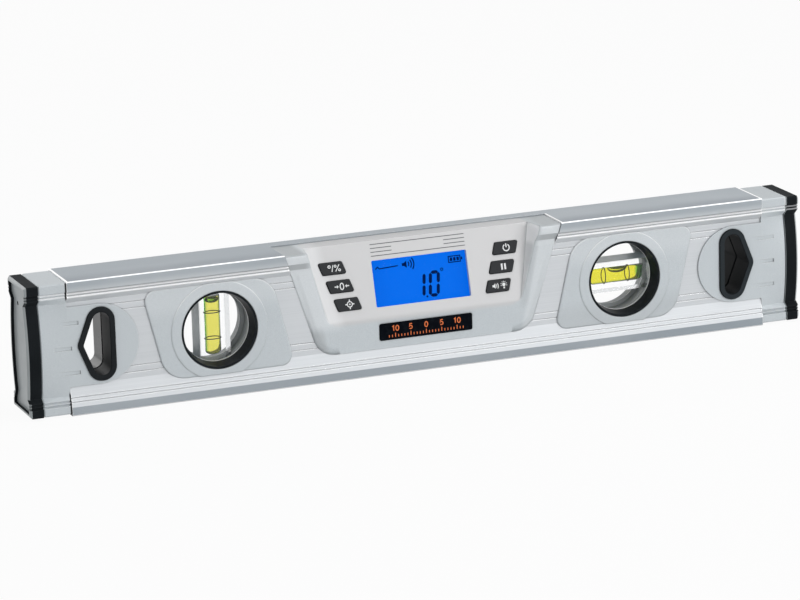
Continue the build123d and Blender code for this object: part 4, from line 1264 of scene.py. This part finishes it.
# %% Small parts
resin = {"matt": 0.5, "spread": 0.2, "bump": (0.15, 0.15 * MM)}
chip_black = speckled("component_black", 4000.0, (0.012, 0.012, 0.013), (0.03, 0.03, 0.032), **resin)
wear(chip_black, "inclination_sensor", "processor_chips", "buzzer", "tact_switches", "contact_strip")
metal = {"matt": 0.24, "spread": 0.16, "more": {"Metallic": 1.0}, "bump": (0.1, 0.1 * MM), "detail": 3.0}
plated_steel = speckled("plated_steel", 1600.0, (0.5, 0.5, 0.49), (0.66, 0.66, 0.65), **metal)
wear(plated_steel, "board_screws", "housing_screws", "battery_terminals", "battery_bridge")
diffuser = speckled("backlight_white", 160.0, (0.8, 0.82, 0.84), (0.88, 0.89, 0.9), 0.5, 0.1)
wear(diffuser, "backlight")

# %% [markdown]
# The cells wear a dark printed jacket with a brass band at the positive end and bare tin on both ends.
# They lie opposite ways round, so the band's place turns over with height.

# %% Jackets of the cells
between_cells = (middle("lower_battery").z + middle("upper_battery").z) / 2
band_start = 12.0 * MM
jacket, n = new_finish("cell_jacket")
x, _, z = n.split(n.place())
upper_cell = n.ramp(z, between_cells - 0.1 * MM, between_cells + 0.1 * MM)
band = n.ramp(x * (1.0 - upper_cell * 2.0), band_start, band_start + 0.3 * MM)
tin = n.ramp(abs(n.facing()[0]), 0.7, 0.8)
print_lines = n.noise(n.place(), 700.0)
base = n.layers(
    (0.035, 0.04, 0.05),
    (band, (0.5, 0.3, 0.08)),
    (n.ramp(print_lines, 0.4, 0.7) * 0.1, (0.2, 0.2, 0.2)),
    (tin, (0.62, 0.62, 0.6)),
)
n.principled({"Base Color": base, "Metallic": tin, "Roughness": 0.25 + print_lines * 0.15})
wear(jacket, "lower_battery", "upper_battery")

# %% [markdown]
# A studio for a small silver object is a pale floor in a white room. Both are white to the eye and to
# reflections, while the light that they throw on the object is weaker, and the floor keeps a soft trace of
# the shadow. The kind of ray that meets them tells the two cases apart.

# %% Floor
floor_reach = 6.0
floor_drop = 0.1 * MM
pure_white = {"Color": (1.0, 1.0, 1.0), "Strength": 1.0}


def looked_at(n):
    """1 for rays that the camera, a mirror or glass sends out, 0 for rays that only carry light."""
    path = n.node("LightPath").socket.node
    kinds = ("Is Camera Ray", "Is Glossy Ray", "Is Transmission Ray")
    seen, mirrored, through = (Shade(n, path.outputs[kind]) for kind in kinds)
    return seen + mirrored + through


floor_finish, n = new_finish("studio_floor")
paper = n.noise(n.place(), 40.0)
sheet = {
    "Base Color": n.mix(paper, (0.76, 0.76, 0.76), (0.78, 0.78, 0.78)),
    "Roughness": 1.0,
    "Specular IOR Level": 0.0,
}
matt = n.node("BsdfPrincipled", None, sheet)
white = n.node("Emission", None, pure_white)
n.surface(n.node("MixShader", None, {0: looked_at(n) * 0.94, 1: matt, 2: white}))
floor_shape = bmesh.new()
bmesh.ops.create_grid(floor_shape, x_segments=8, y_segments=8, size=floor_reach)
floor = to_object("studio_floor", floor_shape, floor_finish)
floor.location.z = -floor_drop
print("floor at", round(floor.location.z / MM, 2), "mm")

# %% [markdown]
# The room is the world's background. Its light is slightly cool and comes evenly from all sides, which
# keeps the shadows on the object open.

# %% Room
world = bpy.data.worlds.new("studio")
world.use_nodes = True
bpy.context.scene.world = world
n = Nodes(world.node_tree)
room_light = 0.36
room = n.node("Background", None, {"Color": (0.96, 0.98, 1.0), "Strength": room_light})
backdrop = n.node("Background", None, pure_white)
sight = n.node("MixShader", None, {0: looked_at(n), 1: room, 2: backdrop})
n.node("OutputWorld", None, {"Surface": sight})
print("room light", room_light)

# %% [markdown]
# Large square lamps give soft light with broad highlights. The main one stands in front to the right.
# Weaker ones fill in from the front left, the left and behind, and one hangs above for the top face.

# %% Lamps
def softbox(name, place, size, power):
    """A square lamp turned towards the middle of the level."""
    lamp_data = bpy.data.lights.new(name, "AREA")
    lamp_data.size = size
    lamp_data.energy = power
    lamp = bpy.data.objects.new(name, lamp_data)
    lamp.location = place
    lamp.rotation_euler = (aim - Vector(place)).to_track_quat("-Z", "Y").to_euler()
    bpy.context.scene.collection.objects.link(lamp)
    print(name, power, "W")


softbox("front_lamp", place=(1.1, -1.85, 0.65), size=1.3, power=18.4)
softbox("fill_lamp", place=(-0.9, -1.7, 0.75), size=1.0, power=3.4)
softbox("left_lamp", place=(-1.85, -0.6, 0.7), size=1.0, power=3.0)
softbox("rear_lamp", place=(-0.5, 1.8, 0.6), size=1.2, power=6.0)
softbox("top_lamp", place=(0.4, -0.15, 1.0), size=0.6, power=3.6)

# %% [markdown]
# The dressed model has to stay as large as the CAD model, so the CAD model's box is printed.

# %% Size of the CAD model
print("CAD box", [[round(v, 5) for v in c] for c in cad_box])
